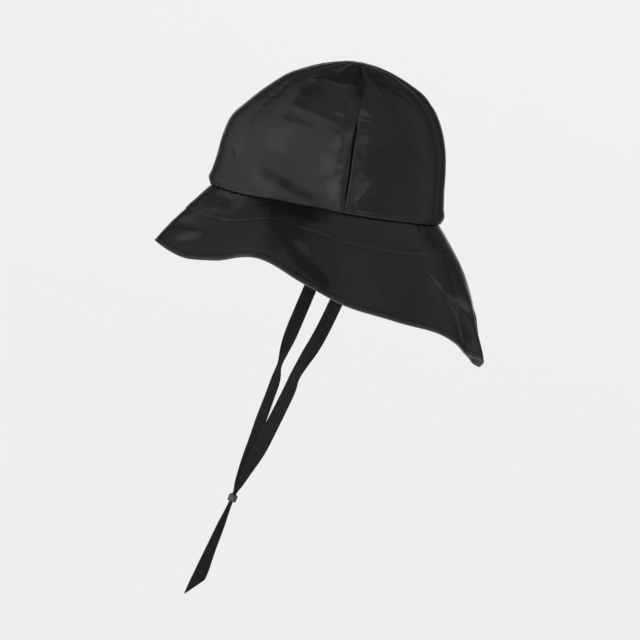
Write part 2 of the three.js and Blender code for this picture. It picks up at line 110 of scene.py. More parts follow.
# A smooth curve through a table's rows, read at places along its first column.
def readTable(rows, column, at, levelEnds=True):
    table = np.array(rows, float)
    x, y = table[:, 0], table[:, column]
    step = np.diff(x)
    rise = np.diff(y) / step
    grade = np.zeros(len(x))
    grade[1:-1] = (rise[:-1] * step[1:] + rise[1:] * step[:-1]) / (step[:-1] + step[1:])
    if not levelEnds:
        grade[0], grade[-1] = rise[0], rise[-1]
    at = np.clip(at, x[0], x[-1])
    row = np.clip(np.searchsorted(x, at, side="right") - 1, 0, len(x) - 2)
    span = step[row]
    t = (at - x[row]) / span
    s = 1 - t
    start = y[row] * (1 + 2 * t) * s * s + grade[row] * span * t * s * s
    return start + y[row + 1] * t * t * (1 + 2 * s) - grade[row + 1] * span * t * t * s


def unit(vectors):
    return vectors / np.maximum(np.linalg.norm(vectors, axis=-1, keepdims=True), 1e-12)


# How far each point of a row lies along it.
def travelAlong(points):
    return np.concatenate([[0], np.cumsum(np.linalg.norm(np.diff(points, axis=0), axis=1))])


def circleSteps(count):
    return np.arange(count) * 2 * pi / count


# Steps from low to high that lie closer towards both ends.
def packedSteps(low, high, step, ends):
    count = max(2, round((high - low - 2 * ends[-1]) / step))
    inner = np.linspace(low + ends[-1], high - ends[-1], count)
    return np.concatenate([low + np.array(ends[:-1]), inner, high - np.array(ends[-2::-1])])


# A few long waves through space, the same on each run, for the unevenness of soft cloth.
def softWaves(points, seed, count, shortest, longest):
    random = np.random.default_rng(seed)
    total = np.zeros(points.shape[:-1])
    for _ in range(count):
        heading = random.normal(size=3)
        heading /= np.linalg.norm(heading)
        length = random.uniform(shortest, longest)
        total += np.sin(2 * pi * (points @ heading) / length + random.uniform(0, 2 * pi))
    return total / np.sqrt(count)


# How the half thickness of cloth falls to nothing round its edge.
def roundedEdge(distance, radius):
    x = 1 - np.clip(distance / radius, 0, 1)
    return np.sqrt(np.clip(1 - x * x, 0, 1))


def makeMesh(name, points, faces, materials, faceMaterial=None, values=None):
    used, index = np.unique(faces, return_inverse=True)
    faces = index.reshape(faces.shape)
    mesh = bpy.data.meshes.new(name)
    mesh.from_pydata((points[used] * metres).tolist(), [], faces.tolist())
    mesh.polygons.foreach_set("use_smooth", np.ones(len(faces), bool))
    for material in materials:
        mesh.materials.append(material)
    if faceMaterial is not None:
        mesh.polygons.foreach_set("material_index", faceMaterial.astype(np.int32))
    for key, numbers in (values or {}).items():
        attribute = mesh.attributes.new(key, "FLOAT", "POINT")
        attribute.data.foreach_set("value", numbers[used].astype(np.float32))
    mesh.validate()
    piece = bpy.data.objects.new(name, mesh)
    scene.collection.objects.link(piece)
    return piece


def pointNumbers(rows, columns):
    return np.arange(rows * columns).reshape(rows, columns)


# Faces of a grid of point numbers, closed round its rows for a ring and round its columns
# for a tube.
def gridFaces(numbers, ring=False, tube=False):
    if tube:
        numbers = np.concatenate([numbers, numbers[:, :1]], 1)
    after = np.roll(numbers, -1, axis=0) if ring else numbers[1:]
    here = numbers if ring else numbers[:-1]
    return np.stack([here[:, :-1], after[:, :-1], after[:, 1:], here[:, 1:]], -1).reshape(-1, 4)


# A sheet of cloth with two faces that share the points of its border. The outer face takes
# the first material and the inner one the second.
def makeCloth(name, upper, lower, materials, ring=False, values=None):
    rows, columns = upper.shape[:2]
    outer = pointNumbers(rows, columns)
    inner = outer + rows * columns
    inner[:, 0], inner[:, -1] = outer[:, 0], outer[:, -1]
    if not ring:
        inner[0], inner[-1] = outer[0], outer[-1]
    outerFaces, innerFaces = gridFaces(outer, ring), gridFaces(inner, ring)[:, ::-1]
    points = np.concatenate([upper.reshape(-1, 3), lower.reshape(-1, 3)])
    faces = np.concatenate([outerFaces, innerFaces])
    corners = points[faces]
    swept = np.cross(corners[:, 1] - corners[:, 0], corners[:, 2] - corners[:, 0])
    if (corners[:, 0] * swept).sum() < 0:
        faces = faces[:, ::-1]
    side = np.repeat([0, 1 if len(materials) > 1 else 0], [len(outerFaces), len(innerFaces)])
    both = {key: np.concatenate([v.ravel(), v.ravel()]) for key, v in (values or {}).items()}
    return makeMesh(name, points, faces, materials, side, both)


# Area of a sheet's grid in square metres.
def clothArea(points, ring=False):
    after = np.roll(points, -1, axis=0) if ring else points[1:]
    here = points if ring else points[:-1]
    cells = np.cross((after - here)[:, :-1], np.diff(here, axis=1))
    return float(np.linalg.norm(cells, axis=-1).sum()) * metres ** 2


# Hands a sewn piece of coated cloth over, with its flat size in metres.
def handOver(piece, node, flat, area):
    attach(piece, "root")
    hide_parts(node)
    print(f"{piece.name} flat {flat[0]:.4f} by {flat[1]:.4f} area {area:.5f}")


# A socket that can be used in sums: each operator adds the Math node for it.
class Number:
    def __init__(self, finish, socket):
        self.finish = finish
        self.socket = socket

    def join(self, operation, first, second):
        return self.finish.add("ShaderNodeMath", {"operation": operation}, {0: first, 1: second})

    def __add__(self, other):
        return self.join("ADD", self, other)

    def __radd__(self, other):
        return self.join("ADD", other, self)

    def __sub__(self, other):
        return self.join("SUBTRACT", self, other)

    def __rsub__(self, other):
        return self.join("SUBTRACT", other, self)

    def __mul__(self, other):
        return self.join("MULTIPLY", self, other)

    def __rmul__(self, other):
        return self.join("MULTIPLY", other, self)


class Finish:
    def __init__(self, tree):
        self.tree = tree

    # Any node: its settings come first, then the values or links of its sockets.
    def add(self, kind, settings=None, sockets=None, output=0):
        node = self.tree.nodes.new(kind)
        for key, value in (settings or {}).items():
            setattr(node, key, value)
        for key, value in (sockets or {}).items():
            if isinstance(value, Number):
                self.tree.links.new(value.socket, node.inputs[key])
            else:
                node.inputs[key].default_value = value
        return Number(self, node.outputs[output])

    # The three coordinates of a place.
    def parts(self, where):
        node = self.add("ShaderNodeSeparateXYZ", None, {0: where}).socket.node
        return [Number(self, socket) for socket in node.outputs]

    def place(self):
        return self.add("ShaderNodeTexCoord", output="Object")

    def stored(self, key):
        return self.add("ShaderNodeAttribute", {"attribute_name": key}, output="Fac")

    def noise(self, where, scale, detail, rough, twist=0.0):
        sockets = {"Vector": where, "Scale": scale, "Detail": detail, "Roughness": rough}
        return self.add("ShaderNodeTexNoise", None, {**sockets, "Distortion": twist}, "Fac")

    def between(self, value, low, high):
        return self.add("ShaderNodeMapRange", {"clamp": True}, {0: value, 1: low, 2: high, 3: 0.0, 4: 1.0})

    def wave(self, value):
        return self.add("ShaderNodeMath", {"operation": "SINE"}, {0: value})

    def stretched(self, where, scale):
        return self.add("ShaderNodeVectorMath", {"operation": "MULTIPLY"}, {0: where, 1: scale})

    # Colours are mixed by a mask; each is a link or three numbers.
    def blendColours(self, mask, first, second):
        first, second = (c if isinstance(c, Number) else (*c, 1) for c in (first, second))
        return self.add("ShaderNodeMix", {"data_type": "RGBA"}, {0: mask, 6: first, 7: second}, 2)

    # A look's two colours, mixed by how high a noise is.
    def shades(self, height, look):
        return self.blendColours(self.between(height, *look["spread"]), look["dark"], look["light"])

    def bump(self, height, depth, strength, after=None):
        sockets = {"Strength": strength, "Distance": depth, "Height": height}
        if after is not None:
            sockets["Normal"] = after
        return self.add("ShaderNodeBump", None, sockets)

    def feed(self, **links):
        names = {"colour": "Base Color", "shine": "Coat Weight"}
        for key, value in links.items():
            self.tree.links.new(value.socket, self.shader.inputs[names.get(key, key.capitalize())])
        return self.material


# A new material on the main shader, with the values that stay the same all over.
def newFinish(name, fixed):
    material = bpy.data.materials.new(name)
    material.use_nodes = True
    material.node_tree.nodes.clear()
    finish = Finish(material.node_tree)
    finish.material = material
    finish.shader = finish.tree.nodes.new("ShaderNodeBsdfPrincipled")
    out = finish.tree.nodes.new("ShaderNodeOutputMaterial")
    finish.tree.links.new(finish.shader.outputs[0], out.inputs["Surface"])
    for key, value in fixed.items():
        finish.shader.inputs[key].default_value = value
    return finish


# Noises: scale, detail, roughness, twist. Bumps: depth, strength.
clothLook = {
    "dark": (0.0110, 0.0110, 0.0113),
    "light": (0.0165, 0.0165, 0.0171),
    # The worn colour serves both real wear and the painted highlight where the shine is high.
    "wornAndPaintedHighlight": (0.034, 0.034, 0.035),
    "roughLow": 0.17,
    "roughHigh": 0.25,
    "fixed": {"Specular IOR Level": 0.12, "Coat Roughness": 0.11},
    "shine": 0.36,
    "blotches": (14, 5, 0.62),
    "patches": (46, 4, 0.6, 0.4),
    "grain": (850, 3, 0.6),
    "specks": (2600, 2, 0.5),
    "crumple": (70, 5, 0.52, 0.3),
    "crumpleBump": (0.0009, 0.35),
    "grainBump": (0.00012, 0.5),
    "spread": (0.36, 0.64),
    # Painted light: how dark the colour falls, and below what shine, as painted dark reflection, and above
    # what shine it lightens as painted highlight.
    "paintedDarkLevel": 0.62,
    "paintedDarkBelow": 0.3,
    "paintedHighlight": (1.1, 3.0),
}


def makeCoatedCloth(look):
    finish = newFinish("coatedCloth", look["fixed"])
    where, shine = finish.place(), finish.stored("shine")
    blotches, patches, grain, specks, crumple = (
        finish.noise(where, *look[key]) for key in ("blotches", "patches", "grain", "specks", "crumple")
    )
    rubbed = finish.stored("wear") * finish.between(patches, 0.42, 0.66)
    colour = finish.shades(blotches * 0.6 + grain * 0.4, look)
    colour = finish.blendColours(rubbed * 0.5, colour, look["wornAndPaintedHighlight"])
    uneven = finish.between(blotches * 0.45 + patches * 0.35 + grain * 0.2, *look["spread"])
    roughness = look["roughLow"] + uneven * (look["roughHigh"] - look["roughLow"]) + rubbed * 0.1
    normal = finish.bump(crumple, *look["crumpleBump"])
    normal = finish.bump(grain * 0.7 + specks * 0.3, *look["grainBump"], normal)
    # Painted dark reflection where the stored shine is low, and painted highlight, toward the worn colour,
    # where it is high.
    paintedDark = (1 - look["paintedDarkLevel"]) * (1 - finish.between(shine, 0.0, look["paintedDarkBelow"]))
    colour = finish.blendColours(paintedDark, colour, (0.0, 0.0, 0.0))
    colour = finish.blendColours(finish.between(shine, *look["paintedHighlight"]) * 0.7, colour, look["wornAndPaintedHighlight"])
    shine = shine * (0.85 + 0.3 * finish.between(patches, 0.35, 0.65)) * look["shine"]
    return finish.feed(colour=colour, roughness=roughness, normal=normal, shine=shine)


# Pitches in metres.
backingLook = {
    "upPitch": 0.0007,
    "aroundPitch": 0.0008,
    "dark": (0.010, 0.010, 0.0105),
    "light": (0.019, 0.019, 0.020),
    "spread": (0.35, 0.65),
    "fixed": {"Specular IOR Level": 0.25, "Sheen Weight": 0.12, "Sheen Roughness": 0.5},
}


# The uncoated face inside the hat: a fine plain weave, matt.
def makeClothBacking(look):
    finish = newFinish("clothBacking", look["fixed"])
    where = finish.place()
    x, y, z = finish.parts(where)
    warp = finish.wave(z * (2 * pi / look["upPitch"]))
    weft = finish.wave((y + x) * (2 * pi / look["aroundPitch"]))
    yarn = finish.noise(where, 1400, 3, 0.6)
    patches = finish.noise(where, 30, 4, 0.6)
    colour = finish.shades(patches * 0.5 + yarn * 0.5, look)
    normal = finish.bump(warp * weft * 0.4 + yarn * 0.6, 0.00010, 0.6)
    return finish.feed(colour=colour, roughness=0.7 + yarn * 0.22, normal=normal)


# Pitches in millimetres, as the tape's stored lengths are.
tapeLook = {
    "ribPitch": 0.62,
    "yarnPitch": 0.9,
    "dark": (0.005, 0.005, 0.0052),
    "light": (0.017, 0.017, 0.0175),
    "fleck": (0.095, 0.095, 0.097),
    # Painted fill light: a paler colour for the far strand, which the brim shades.
    "paintedFillLight": (0.055, 0.055, 0.056),
    "spread": (0.38, 0.72),
    "selvage": (4.9, 5.3),
    "fixed": {"Specular IOR Level": 0.15, "Sheen Weight": 0.05, "Sheen Roughness": 0.45},
}


# Woven tape: ribs across it, yarns along it, and firmer selvages.
def makeWovenTape(look):
    finish = newFinish("wovenTape", look["fixed"])
    where = finish.place()
    along, across = finish.stored("alongTape"), finish.stored("acrossTape")
    bend = finish.wave(across * (pi / look["yarnPitch"])) * 1.4
    ribs = finish.wave(along * (2 * pi / look["ribPitch"]) + bend)
    yarns = finish.wave(across * (2 * pi / look["yarnPitch"]))
    fuzz = finish.noise(where, 1900, 3, 0.65)
    patches = finish.noise(where, 120, 4, 0.6)
    size = finish.add("ShaderNodeMath", {"operation": "ABSOLUTE"}, {0: across})
    selvage = finish.between(size, *look["selvage"])
    height = ribs * 0.35 + yarns * 0.25 + fuzz * 0.5 + selvage * 0.4
    colour = finish.shades(ribs * 0.12 + patches * 0.45 + fuzz * 0.55, look)
    flecks = finish.between(finish.noise(where, 3300, 1, 0.5), 0.63, 0.72)
    # Painted fill light: the far strand's colour is lightened where the brim shades it.
    colour = finish.blendColours(finish.stored("paintedFillLight") * 0.4, colour, look["paintedFillLight"])
    colour = finish.blendColours(flecks * 0.45, colour, look["fleck"])
    roughness = 0.62 + fuzz * 0.24 - selvage * 0.06
    return finish.feed(colour=colour, roughness=roughness, normal=finish.bump(height, 0.00016, 0.6))


threadLook = {
    "dark": (0.006, 0.006, 0.006),
    "light": (0.015, 0.015, 0.0155),
    "spread": (0.36, 0.64),
    "fixed": {"Specular IOR Level": 0.25},
}


def makeThread(look):
    finish = newFinish("sewingThread", look["fixed"])
    where = finish.place()
    twist = finish.noise(where, 2400, 2, 0.5)
    patches = finish.noise(where, 60, 3, 0.6)
    colour = finish.shades(twist * 0.5 + patches * 0.5, look)
    roughness = 0.44 + twist * 0.2
    return finish.feed(colour=colour, roughness=roughness, normal=finish.bump(twist, 0.0001, 0.6))


beadLook = {
    "dark": (0.034, 0.034, 0.035),
    "light": (0.058, 0.058, 0.060),
    "spread": (0.35, 0.65),
    "fixed": {"Specular IOR Level": 0.5, "Coat Weight": 0.15, "Coat Roughness": 0.2},
}


def makeBeadPlastic(look):
    finish = newFinish("beadPlastic", look["fixed"])
    where = finish.place()
    scuffs = finish.noise(finish.stretched(where, (1.0, 1.0, 6.0)), 1500, 3, 0.6)
    colour = finish.shades(finish.noise(where, 420, 4, 0.6), look)
    roughness = 0.26 + finish.between(scuffs, 0.4, 0.7) * 0.2
    return finish.feed(colour=colour, roughness=roughness, normal=finish.bump(scuffs, 0.00005, 0.4))


coatedCloth = makeCoatedCloth(clothLook)
clothBacking = makeClothBacking(backingLook)
wovenTape = makeWovenTape(tapeLook)
sewingThread = makeThread(threadLook)
beadPlastic = makeBeadPlastic(beadLook)
print("finishes made")


# Lengths in millimetres; gather and dip shape the crown's top.
crown = {
    "length": 206,
    "width": 178,
    "height": 124.5,
    "wall": 1.2,
    "gatherDepth": 0.9,
    "gatherWaves": 3,
    "gatherEnd": 0.68,
    "gatherPeak": 0.88,
    "gatherTop": 0.97,
    "dipSharpness": 5,
    "seamGap": 0.3,
    "apexGap": 0.06,
    "rowStep": 0.95,
    "columnStep": 1.5,
    "edgeRound": 0.24,
    "stitchFromSeam": 2.6,
    "stitchFromEdge": 3.2,
    "rowEnd": 0.93,
    "puckerFade": (0.90, 0.98),
    "puckers": 0.09,
    "backSeamShare": 0.3,
    "stitchDent": 0.08,
    "felledStep": 0.14,
    "softness": 0.30,
    "fineSoftness": 0.05,
    "edgeWaves": 0.22,
    "edgeFlare": 1.5,
    "edgeDent": 0.10,
}

# height, girth, lean to the back and dip at the seams, all as shares
crownProfile = [
    (0.000, 0.962, 0.000, 0.008),
    (0.035, 0.998, 0.000, 0.012),
    (0.100, 0.985, 0.000, 0.014),
    (0.210, 0.965, 0.004, 0.014),
    (0.350, 0.952, 0.006, 0.016),
    (0.490, 0.915, 0.014, 0.020),
    (0.580, 0.855, 0.036, 0.026),
    (0.680, 0.769, 0.061, 0.034),
    (0.785, 0.656, 0.080, 0.044),
    (0.850, 0.562, 0.087, 0.052),
    (0.910, 0.425, 0.090, 0.060),
    (0.965, 0.250, 0.090, 0.064),
    (0.992, 0.110, 0.090, 0.064),
    (1.000, 0.000, 0.090, 0.064),
]

# share of the way up, and where the front, side and back seams run
seamRoutes = [
    (0.00, 27, 91, 150),
    (0.30, 27, 90, 150),
    (0.50, 24, 88, 150),
    (0.66, 21, 86, 150),
    (0.80, 26, 84, 150),
    (0.92, 36, 83, 150),
    (1.00, 44, 82, 150),
]

# around, up, spread around, spread up, depth as a share of the crown's width
crownDents = [
    (88, 0.45, 6, 0.05, 0.014),
    (48, 0.14, 11, 0.06, 0.009),
    (66, 0.08, 11, 0.06, 0.010),
    (80, 0.24, 7, 0.14, -0.011),
    (103, 0.15, 5, 0.10, -0.006),
    (114, 0.18, 8, 0.12, 0.008),
    (-70, 0.20, 18, 0.12, 0.009),
    (180, 0.34, 16, 0.14, 0.008),
]

# Creases of the cloth: from around and up, to around and up, width and height in millimetres.
crownCreases = [
    (94, 0.82, 111, 0.50, 1.0, -0.7),
    (95, 0.80, 110, 0.50, 3.5, 0.5),
    (99, 0.79, 130, 0.59, 1.2, -0.8),
    (104, 0.82, 134, 0.62, 3.0, 0.55),
    (78, 0.95, 95, 0.64, 1.2, 0.8),
    (62, 0.94, 52, 0.70, 1.2, 0.9),
    (52, 0.72, 33, 0.60, 2.0, 0.6),
    (34, 0.655, 76, 0.635, 4.0, 0.9),
    (74, 0.64, 86, 0.50, 3.5, 0.9),
    (72, 0.86, 58, 0.72, 3.5, -0.8),
    (86, 0.44, 70, 0.47, 2.0, -0.5),
    (86, 0.40, 50, 0.465, 4.5, 0.6),
    (68, 0.435, 28, 0.50, 5.0, 0.35),
    (36, 0.49, 20, 0.46, 4.0, 0.3),
    (17, 0.20, 25, 0.13, 2.6, -0.7),
    (95, 0.05, 104, 0.20, 1.6, 0.6),
    (98, 0.07, 108, 0.16, 1.3, 0.5),
    (96, 0.04, 103, 0.03, 2.5, 0.4),
    (46, 0.12, 80, 0.04, 4.5, -0.6),
    (-80, 0.46, -60, 0.50, 3.0, -0.6),
    (-96, 0.78, -124, 0.56, 1.4, -0.6),
    (-84, 0.88, -66, 0.60, 1.6, -0.5),
    (-88, 0.30, -72, 0.06, 5.0, 0.7),
    (165, 0.62, 190, 0.56, 4.0, -0.5),
]

# Where the coating shines less or more, laid out like the creases. Where the shine is lowest the colour is
# darkened as painted dark reflection, and where it is highest it is lightened as painted highlight.
crownShineAndPaintedLight = [
    (80, 0.97, 86, 0.50, 4.5, -1.2),
    (78, 0.80, 60, 0.72, 5.0, -0.8),
    (74, 0.88, 50, 0.80, 4.5, -0.8),
    (48, 0.76, 40, 0.70, 4.0, -0.7),
    (86, 0.69, 62, 0.69, 6.0, -0.6),
    (46, 0.655, 84, 0.635, 2.0, 1.0),
    (34, 0.62, 60, 0.90, 1.3, 1.2),
    (22, 0.445, 29, 0.43, 2.5, -0.8),
    (19, 0.21, 25, 0.14, 2.2, -0.8),
    (42, 0.135, 64, 0.085, 4.5, -0.9),
    (56, 0.095, 82, 0.03, 5.5, -0.9),
    (26, 0.60, 64, 0.54, 7.0, -0.5),
    (81, 0.445, 87, 0.42, 2.5, -0.5),
    (86, 0.40, 80, 0.27, 4.5, 0.6),
    (79, 0.27, 80, 0.15, 6.0, 0.7),
    (81, 0.15, 87, 0.05, 4.5, 1.1),
    (87, 0.42, 85, 0.08, 2.4, 1.0),
    (95, 0.05, 104, 0.19, 1.3, 0.8),
    (99, 0.07, 107, 0.17, 1.2, 0.5),
    (62, 0.95, 53, 0.72, 1.0, 1.2),
    (78, 0.97, 95, 0.66, 1.2, 1.2),
    (94, 0.82, 111, 0.50, 1.2, -0.6),
    (99, 0.79, 130, 0.59, 1.6, -0.6),
    (97, 0.80, 117, 0.60, 0.9, -0.5),
]

profileRun = np.hypot(
    np.diff([row[0] for row in crownProfile]) * crown["height"],
    np.diff([row[1] for row in crownProfile]) * crown["length"] / 2,
)
profileLength = profileRun.sum()
profileUp = np.concatenate([[0], np.cumsum(profileRun) / profileLength])
profileTable = [(up, *row) for up, row in zip(profileUp, crownProfile)]


def readProfile(column, up):
    return readTable(profileTable, column, up, levelEnds=False)


# Share of the way up the crown at a height in millimetres.
def upAtHeight(height):
    return np.interp(height / crown["height"], [row[0] for row in crownProfile], profileUp)


def seamAngle(name, up):
    return readTable(seamRoutes, {"front": 1, "side": 2, "back": 3}[name], up)


def seamNearness(around, up):
    turn = np.abs(wrapAngle(around))
    front, side, back = (seamAngle(name, up) for name in ("front", "side", "back"))
    edges = np.stack(np.broadcast_arrays(-front, front, side, back, 360 - back))
    gore = (turn >= front).astype(int) + (turn >= side) + (turn >= back)
    low = np.take_along_axis(edges, gore[None], 0)[0]
    high = np.take_along_axis(edges, gore[None] + 1, 0)[0]
    return np.abs(2 * (turn - low) / (high - low) - 1)


# Outer face of the crown at angles from the front and shares of the way up.
def crownPoints(around, up):
    around, up = np.broadcast_arrays(np.asarray(around, float), np.asarray(up, float))
    girth = readProfile(2, up)
    nearness = seamNearness(around, up)
    rise = easeBetween((up - crown["gatherEnd"]) / (crown["gatherPeak"] - crown["gatherEnd"]))
    fall = easeBetween((crown["gatherTop"] - up) / (crown["gatherTop"] - crown["gatherPeak"]))
    sink = crown["gatherDepth"] * rise * fall * (1 - np.cos(pi * crown["gatherWaves"] * nearness)) / 2
    for middle, height, spreadAround, spreadUp, depth in crownDents:
        across = wrapAngle(around - middle) / spreadAround
        sink = sink + depth * crown["width"] * bell(across) * bell((up - height) / spreadUp)
    radius = np.maximum(girth * crown["width"] / 2, 1e-6)
    dip = readProfile(4, up) * nearness ** crown["dipSharpness"]
    scale = girth * (1 - dip) * np.maximum(0, 1 - sink / np.maximum(radius + sink, 1e-6))
    x = scale * np.sin(np.radians(around)) * crown["width"] / 2
    y = (readProfile(3, up) - scale * np.cos(np.radians(around))) * crown["length"] / 2
    return np.stack([x, y, readProfile(1, up) * crown["height"]], -1)


def crownNormals(around, up, probe=0.002, probeAngle=0.5):
    low = np.clip(np.asarray(up, float) - probe, 0, 1 - 2 * probe)
    climb = crownPoints(around, low + 2 * probe) - crownPoints(around, low)
    sweep = crownPoints(around + probeAngle, up) - crownPoints(around - probeAngle, up)
    return unit(np.cross(sweep, climb))


# Millimetres round the crown for each degree, at a share of the way up.
def crownDegree(around, up):
    points = crownPoints(around, up)
    lean = readProfile(3, up) * crown["length"] / 2
    return np.hypot(points[..., 0], points[..., 1] - lean) * pi / 180


gores = [
    ("goreFront", "crown_gore_front", ("front", -1), ("front", 1)),
    ("goreLeftFront", "crown_gore_left_front", ("front", 1), ("side", 1)),
    ("goreLeftBack", "crown_gore_left_back", ("side", 1), ("back", 1)),
    ("goreBack", "crown_gore_back", ("back", 1), ("back", -1)),
    ("goreRightBack", "crown_gore_right_back", ("back", -1), ("side", -1)),
    ("goreRightFront", "crown_gore_right_front", ("side", -1), ("front", -1)),
]


def goreEdges(gore, up):
    start = gore[2][1] * seamAngle(gore[2][0], up)
    end = gore[3][1] * seamAngle(gore[3][0], up)
    return start, np.where(end < start, end + 360, end)


# How much a table's strokes add at each place. For a stroke's two ends, measure gives the
# way to each place from the first end, sideways and upward, and the stroke's own run.
def strokeTotal(rows, shape, measure, fall):
    total = np.zeros(shape)
    for *ends, width, height in rows:
        sideways, upward, run = measure(*ends)
        part = np.clip((sideways * run[0] + upward * run[1]) / (run @ run), 0, 1)
        distance = np.hypot(sideways - part * run[0], upward - part * run[1])
        total += height * fall(distance / width) * (1 - np.abs(2 * part - 1) ** 3)
    return total


def crownStrokes(rows, around, up, fall=bell):
    def measure(fromAround, fromUp, toAround, toUp):
        perDegree = float(readProfile(2, (fromUp + toUp) / 2)) * crown["width"] / 2 * pi / 180
        run = np.array([wrapAngle(toAround - fromAround) * perDegree, (toUp - fromUp) * profileLength])
        return wrapAngle(around - fromAround) * perDegree, (up - fromUp) * profileLength, run

    return strokeTotal(rows, np.broadcast(around, up).shape, measure, fall)


# What sewing and handling add to the crown's outer face, in millimetres along its normal.
def crownRelief(around, up, toSeam, along, seam, felled):
    relief = crownStrokes(crownCreases, around, up)
    fadeStart, fadeEnd = crown["puckerFade"]
    fade = 1 - easeBetween((up - fadeStart) / (fadeEnd - fadeStart))
    show = crown["backSeamShare"] if seam == "back" else 1.0
    relief -= crown["stitchDent"] * show * fade * bell((toSeam - crown["stitchFromSeam"]) / 0.6)
    phase = {"front": 0.4, "side": 2.1, "back": 4.4}[seam]
    ripple = np.sin(2 * pi * along / 8.3 + phase + 1.7 * np.sin(along / 17))
    ripple += 0.6 * np.sin(2 * pi * along / 5.1 + 2 * phase)
    relief += crown["puckers"] * show * fade * ripple * bell((toSeam - 4.5) / 4.5)
    if felled and seam != "back":
        felling = (1 - easeBetween((toSeam - 3.4) / 2.4)) * easeBetween(toSeam / 0.5)
        relief += crown["felledStep"] * fade * felling
    points = crownPoints(around, up)
    relief += crown["softness"] * softWaves(points, 11, 7, 26, 70)
    relief += crown["fineSoftness"] * softWaves(points, 12, 8, 7, 14)
    turn = wrapAngle(around)
    waves = np.sin(turn * 0.72) * 0.5 + np.sin(turn * 1.13 + 1.0) * 0.5 + 0.4 * np.sin(turn * 0.41 + 2.0)
    relief += crown["edgeWaves"] * waves * bell((along - 4) / 6)
    relief += crown["edgeFlare"] * (1 - easeBetween(along / 5.5))
    return relief - crown["edgeDent"] * bell((along - crown["stitchFromEdge"]) / 0.7)


# The slit and the thin ridge beside it, where the left side seam is pinched.
def seamPinch(side, toSeam, up):
    strength = easeBetween((up - 0.02) / 0.10) * easeBetween((0.47 - up) / 0.10)
    depth = 0.4 + 0.6 * easeBetween((up - 0.24) / 0.10)
    if side == "before":
        return strength * (1.2 * bell(toSeam / 10) - (1.8 + 1.2 * depth) * bell(toSeam / 0.9))
    turnedIn = (0.6 + 0.1 * depth) * bell(toSeam / 0.12)
    return strength * (0.5 * bell((toSeam - 1.7) / 0.8) - 1.1 * depth * bell(toSeam / 0.9) - turnedIn)


# Outer face of a gore with all its relief, and its normals, at angles and shares up.
def goreSurface(gore, around, up):
    start, end = goreEdges(gore, up)
    perDegree = crownDegree(around, up)
    fromStart, toEnd = (around - start) * perDegree, (end - around) * perDegree
    along = up * profileLength
    first = crownRelief(around, up, fromStart, along, gore[2][0], gore[2][1] > 0)
    second = crownRelief(around, up, toEnd, along, gore[3][0], gore[3][1] < 0)
    share = easeBetween((fromStart / np.maximum(fromStart + toEnd, 1e-6) - 0.3) / 0.4)
    relief = first * (1 - share) + second * share
    if gore[0] == "goreLeftFront":
        relief += seamPinch("before", toEnd, up)
    if gore[0] == "goreLeftBack":
        relief += seamPinch("after", fromStart, up)
    relief = relief * easeBetween(perDegree * 60 / 9)  # calm where the gores run together
    normals = crownNormals(around, up)
    return crownPoints(around, up) + relief[..., None] * normals, normals, np.minimum(fromStart, toEnd)


# Steps from a gore's edge inwards.
goreEnds = [0, 0.05, 0.18, 0.38, 0.65, 1.0, 1.4, 1.8, 2.2, 2.6, 3.0, 3.5, 4.2, 5.1, 6.2, 7.4]


def makeGore(gore):
    low, high = goreEdges(gore, 0.2)
    width = float((high - low) * crownDegree((low + high) / 2, 0.2))
    acrossShares = packedSteps(0, width, crown["columnStep"], goreEnds) / width
    top = profileLength - crown["apexGap"]
    along = packedSteps(0, top, crown["rowStep"], goreEnds)[:, None]
    up = np.repeat(along / profileLength, len(acrossShares), 1)
    start, end = goreEdges(gore, up)
    around = start + (end - start) * acrossShares
    outer, normals, nearest = goreSurface(gore, around, up)
    half = crown["wall"] / 2
    thin = roundedEdge(nearest, crown["edgeRound"]) * roundedEdge(along, half)
    thin = thin * roundedEdge(top - along, half)
    middle = outer - half * normals
    swell = (half * thin)[..., None] * normals
    wear = bell(nearest / 2.2) * 0.8 + bell(along / 2.0) + bell((profileLength - along) / 12)
    # Shine sets the coat's gloss and also paints light: low shine darkens the colour as painted dark
    # reflection, high shine lightens it as painted highlight.
    shine = 1 - 0.2 * easeBetween((np.abs(around) - 90) / 4) + crownStrokes(crownShineAndPaintedLight, around, up, patch)
    values = {"wear": np.clip(wear, 0, 1), "shine": np.clip(shine, 0, 3)}
    piece = makeCloth(gore[0], middle + swell, middle - swell, [coatedCloth, clothBacking], values=values)
    area = clothArea(middle)
    flatWidth = float(np.linalg.norm(np.diff(middle, axis=1), axis=-1).sum(1).max()) * metres
    flatHeight = profileLength * metres
    handOver(piece, gore[1], (max(flatWidth, area / flatHeight), flatHeight), area)


for gore in gores:
    makeGore(gore)
print("crown made")


# Lengths in millimetres.
brim = {
    "front": 70.5,
    "side": 84,
    "back": 132,
    "bandWidth": 32,
    "wall": 1.4,
    "lapWidth": 6,
    "stepFade": 24,
    "hemWidth": 5,
    "hemWall": 2.4,
    "seamAllowance": 8,
    "slopeStart": 0.12,
    "slopeSpan": 0.6,
    "columns": 600,
    "lineSteps": 240,
    "lapStep": 0.62,
    "lapStepBack": 0.2,
    "stitchAbove": 1.9,
    "stitchBelow": 3.0,
    "hemStitch": 5.2,
    "crownStitch": 2.4,
    "perDegree": 1.75,
    "perDegreeOutward": 0.011,
    "softness": 0.35,
    "fineSoftness": 0.06,
    "seamPuckers": 0.20,
    "lapPuckers": 0.12,
    "hemPuckers": 0.28,
    "bandDent": 0.15,
    "skirtDent": 0.14,
    "hemGroove": 0.22,
    "hemRidge": 0.12,
    "shine": 0.2,
    "sideShine": 0.76,
    "backShine": 0.35,
    "hiddenGap": 0.15,
}

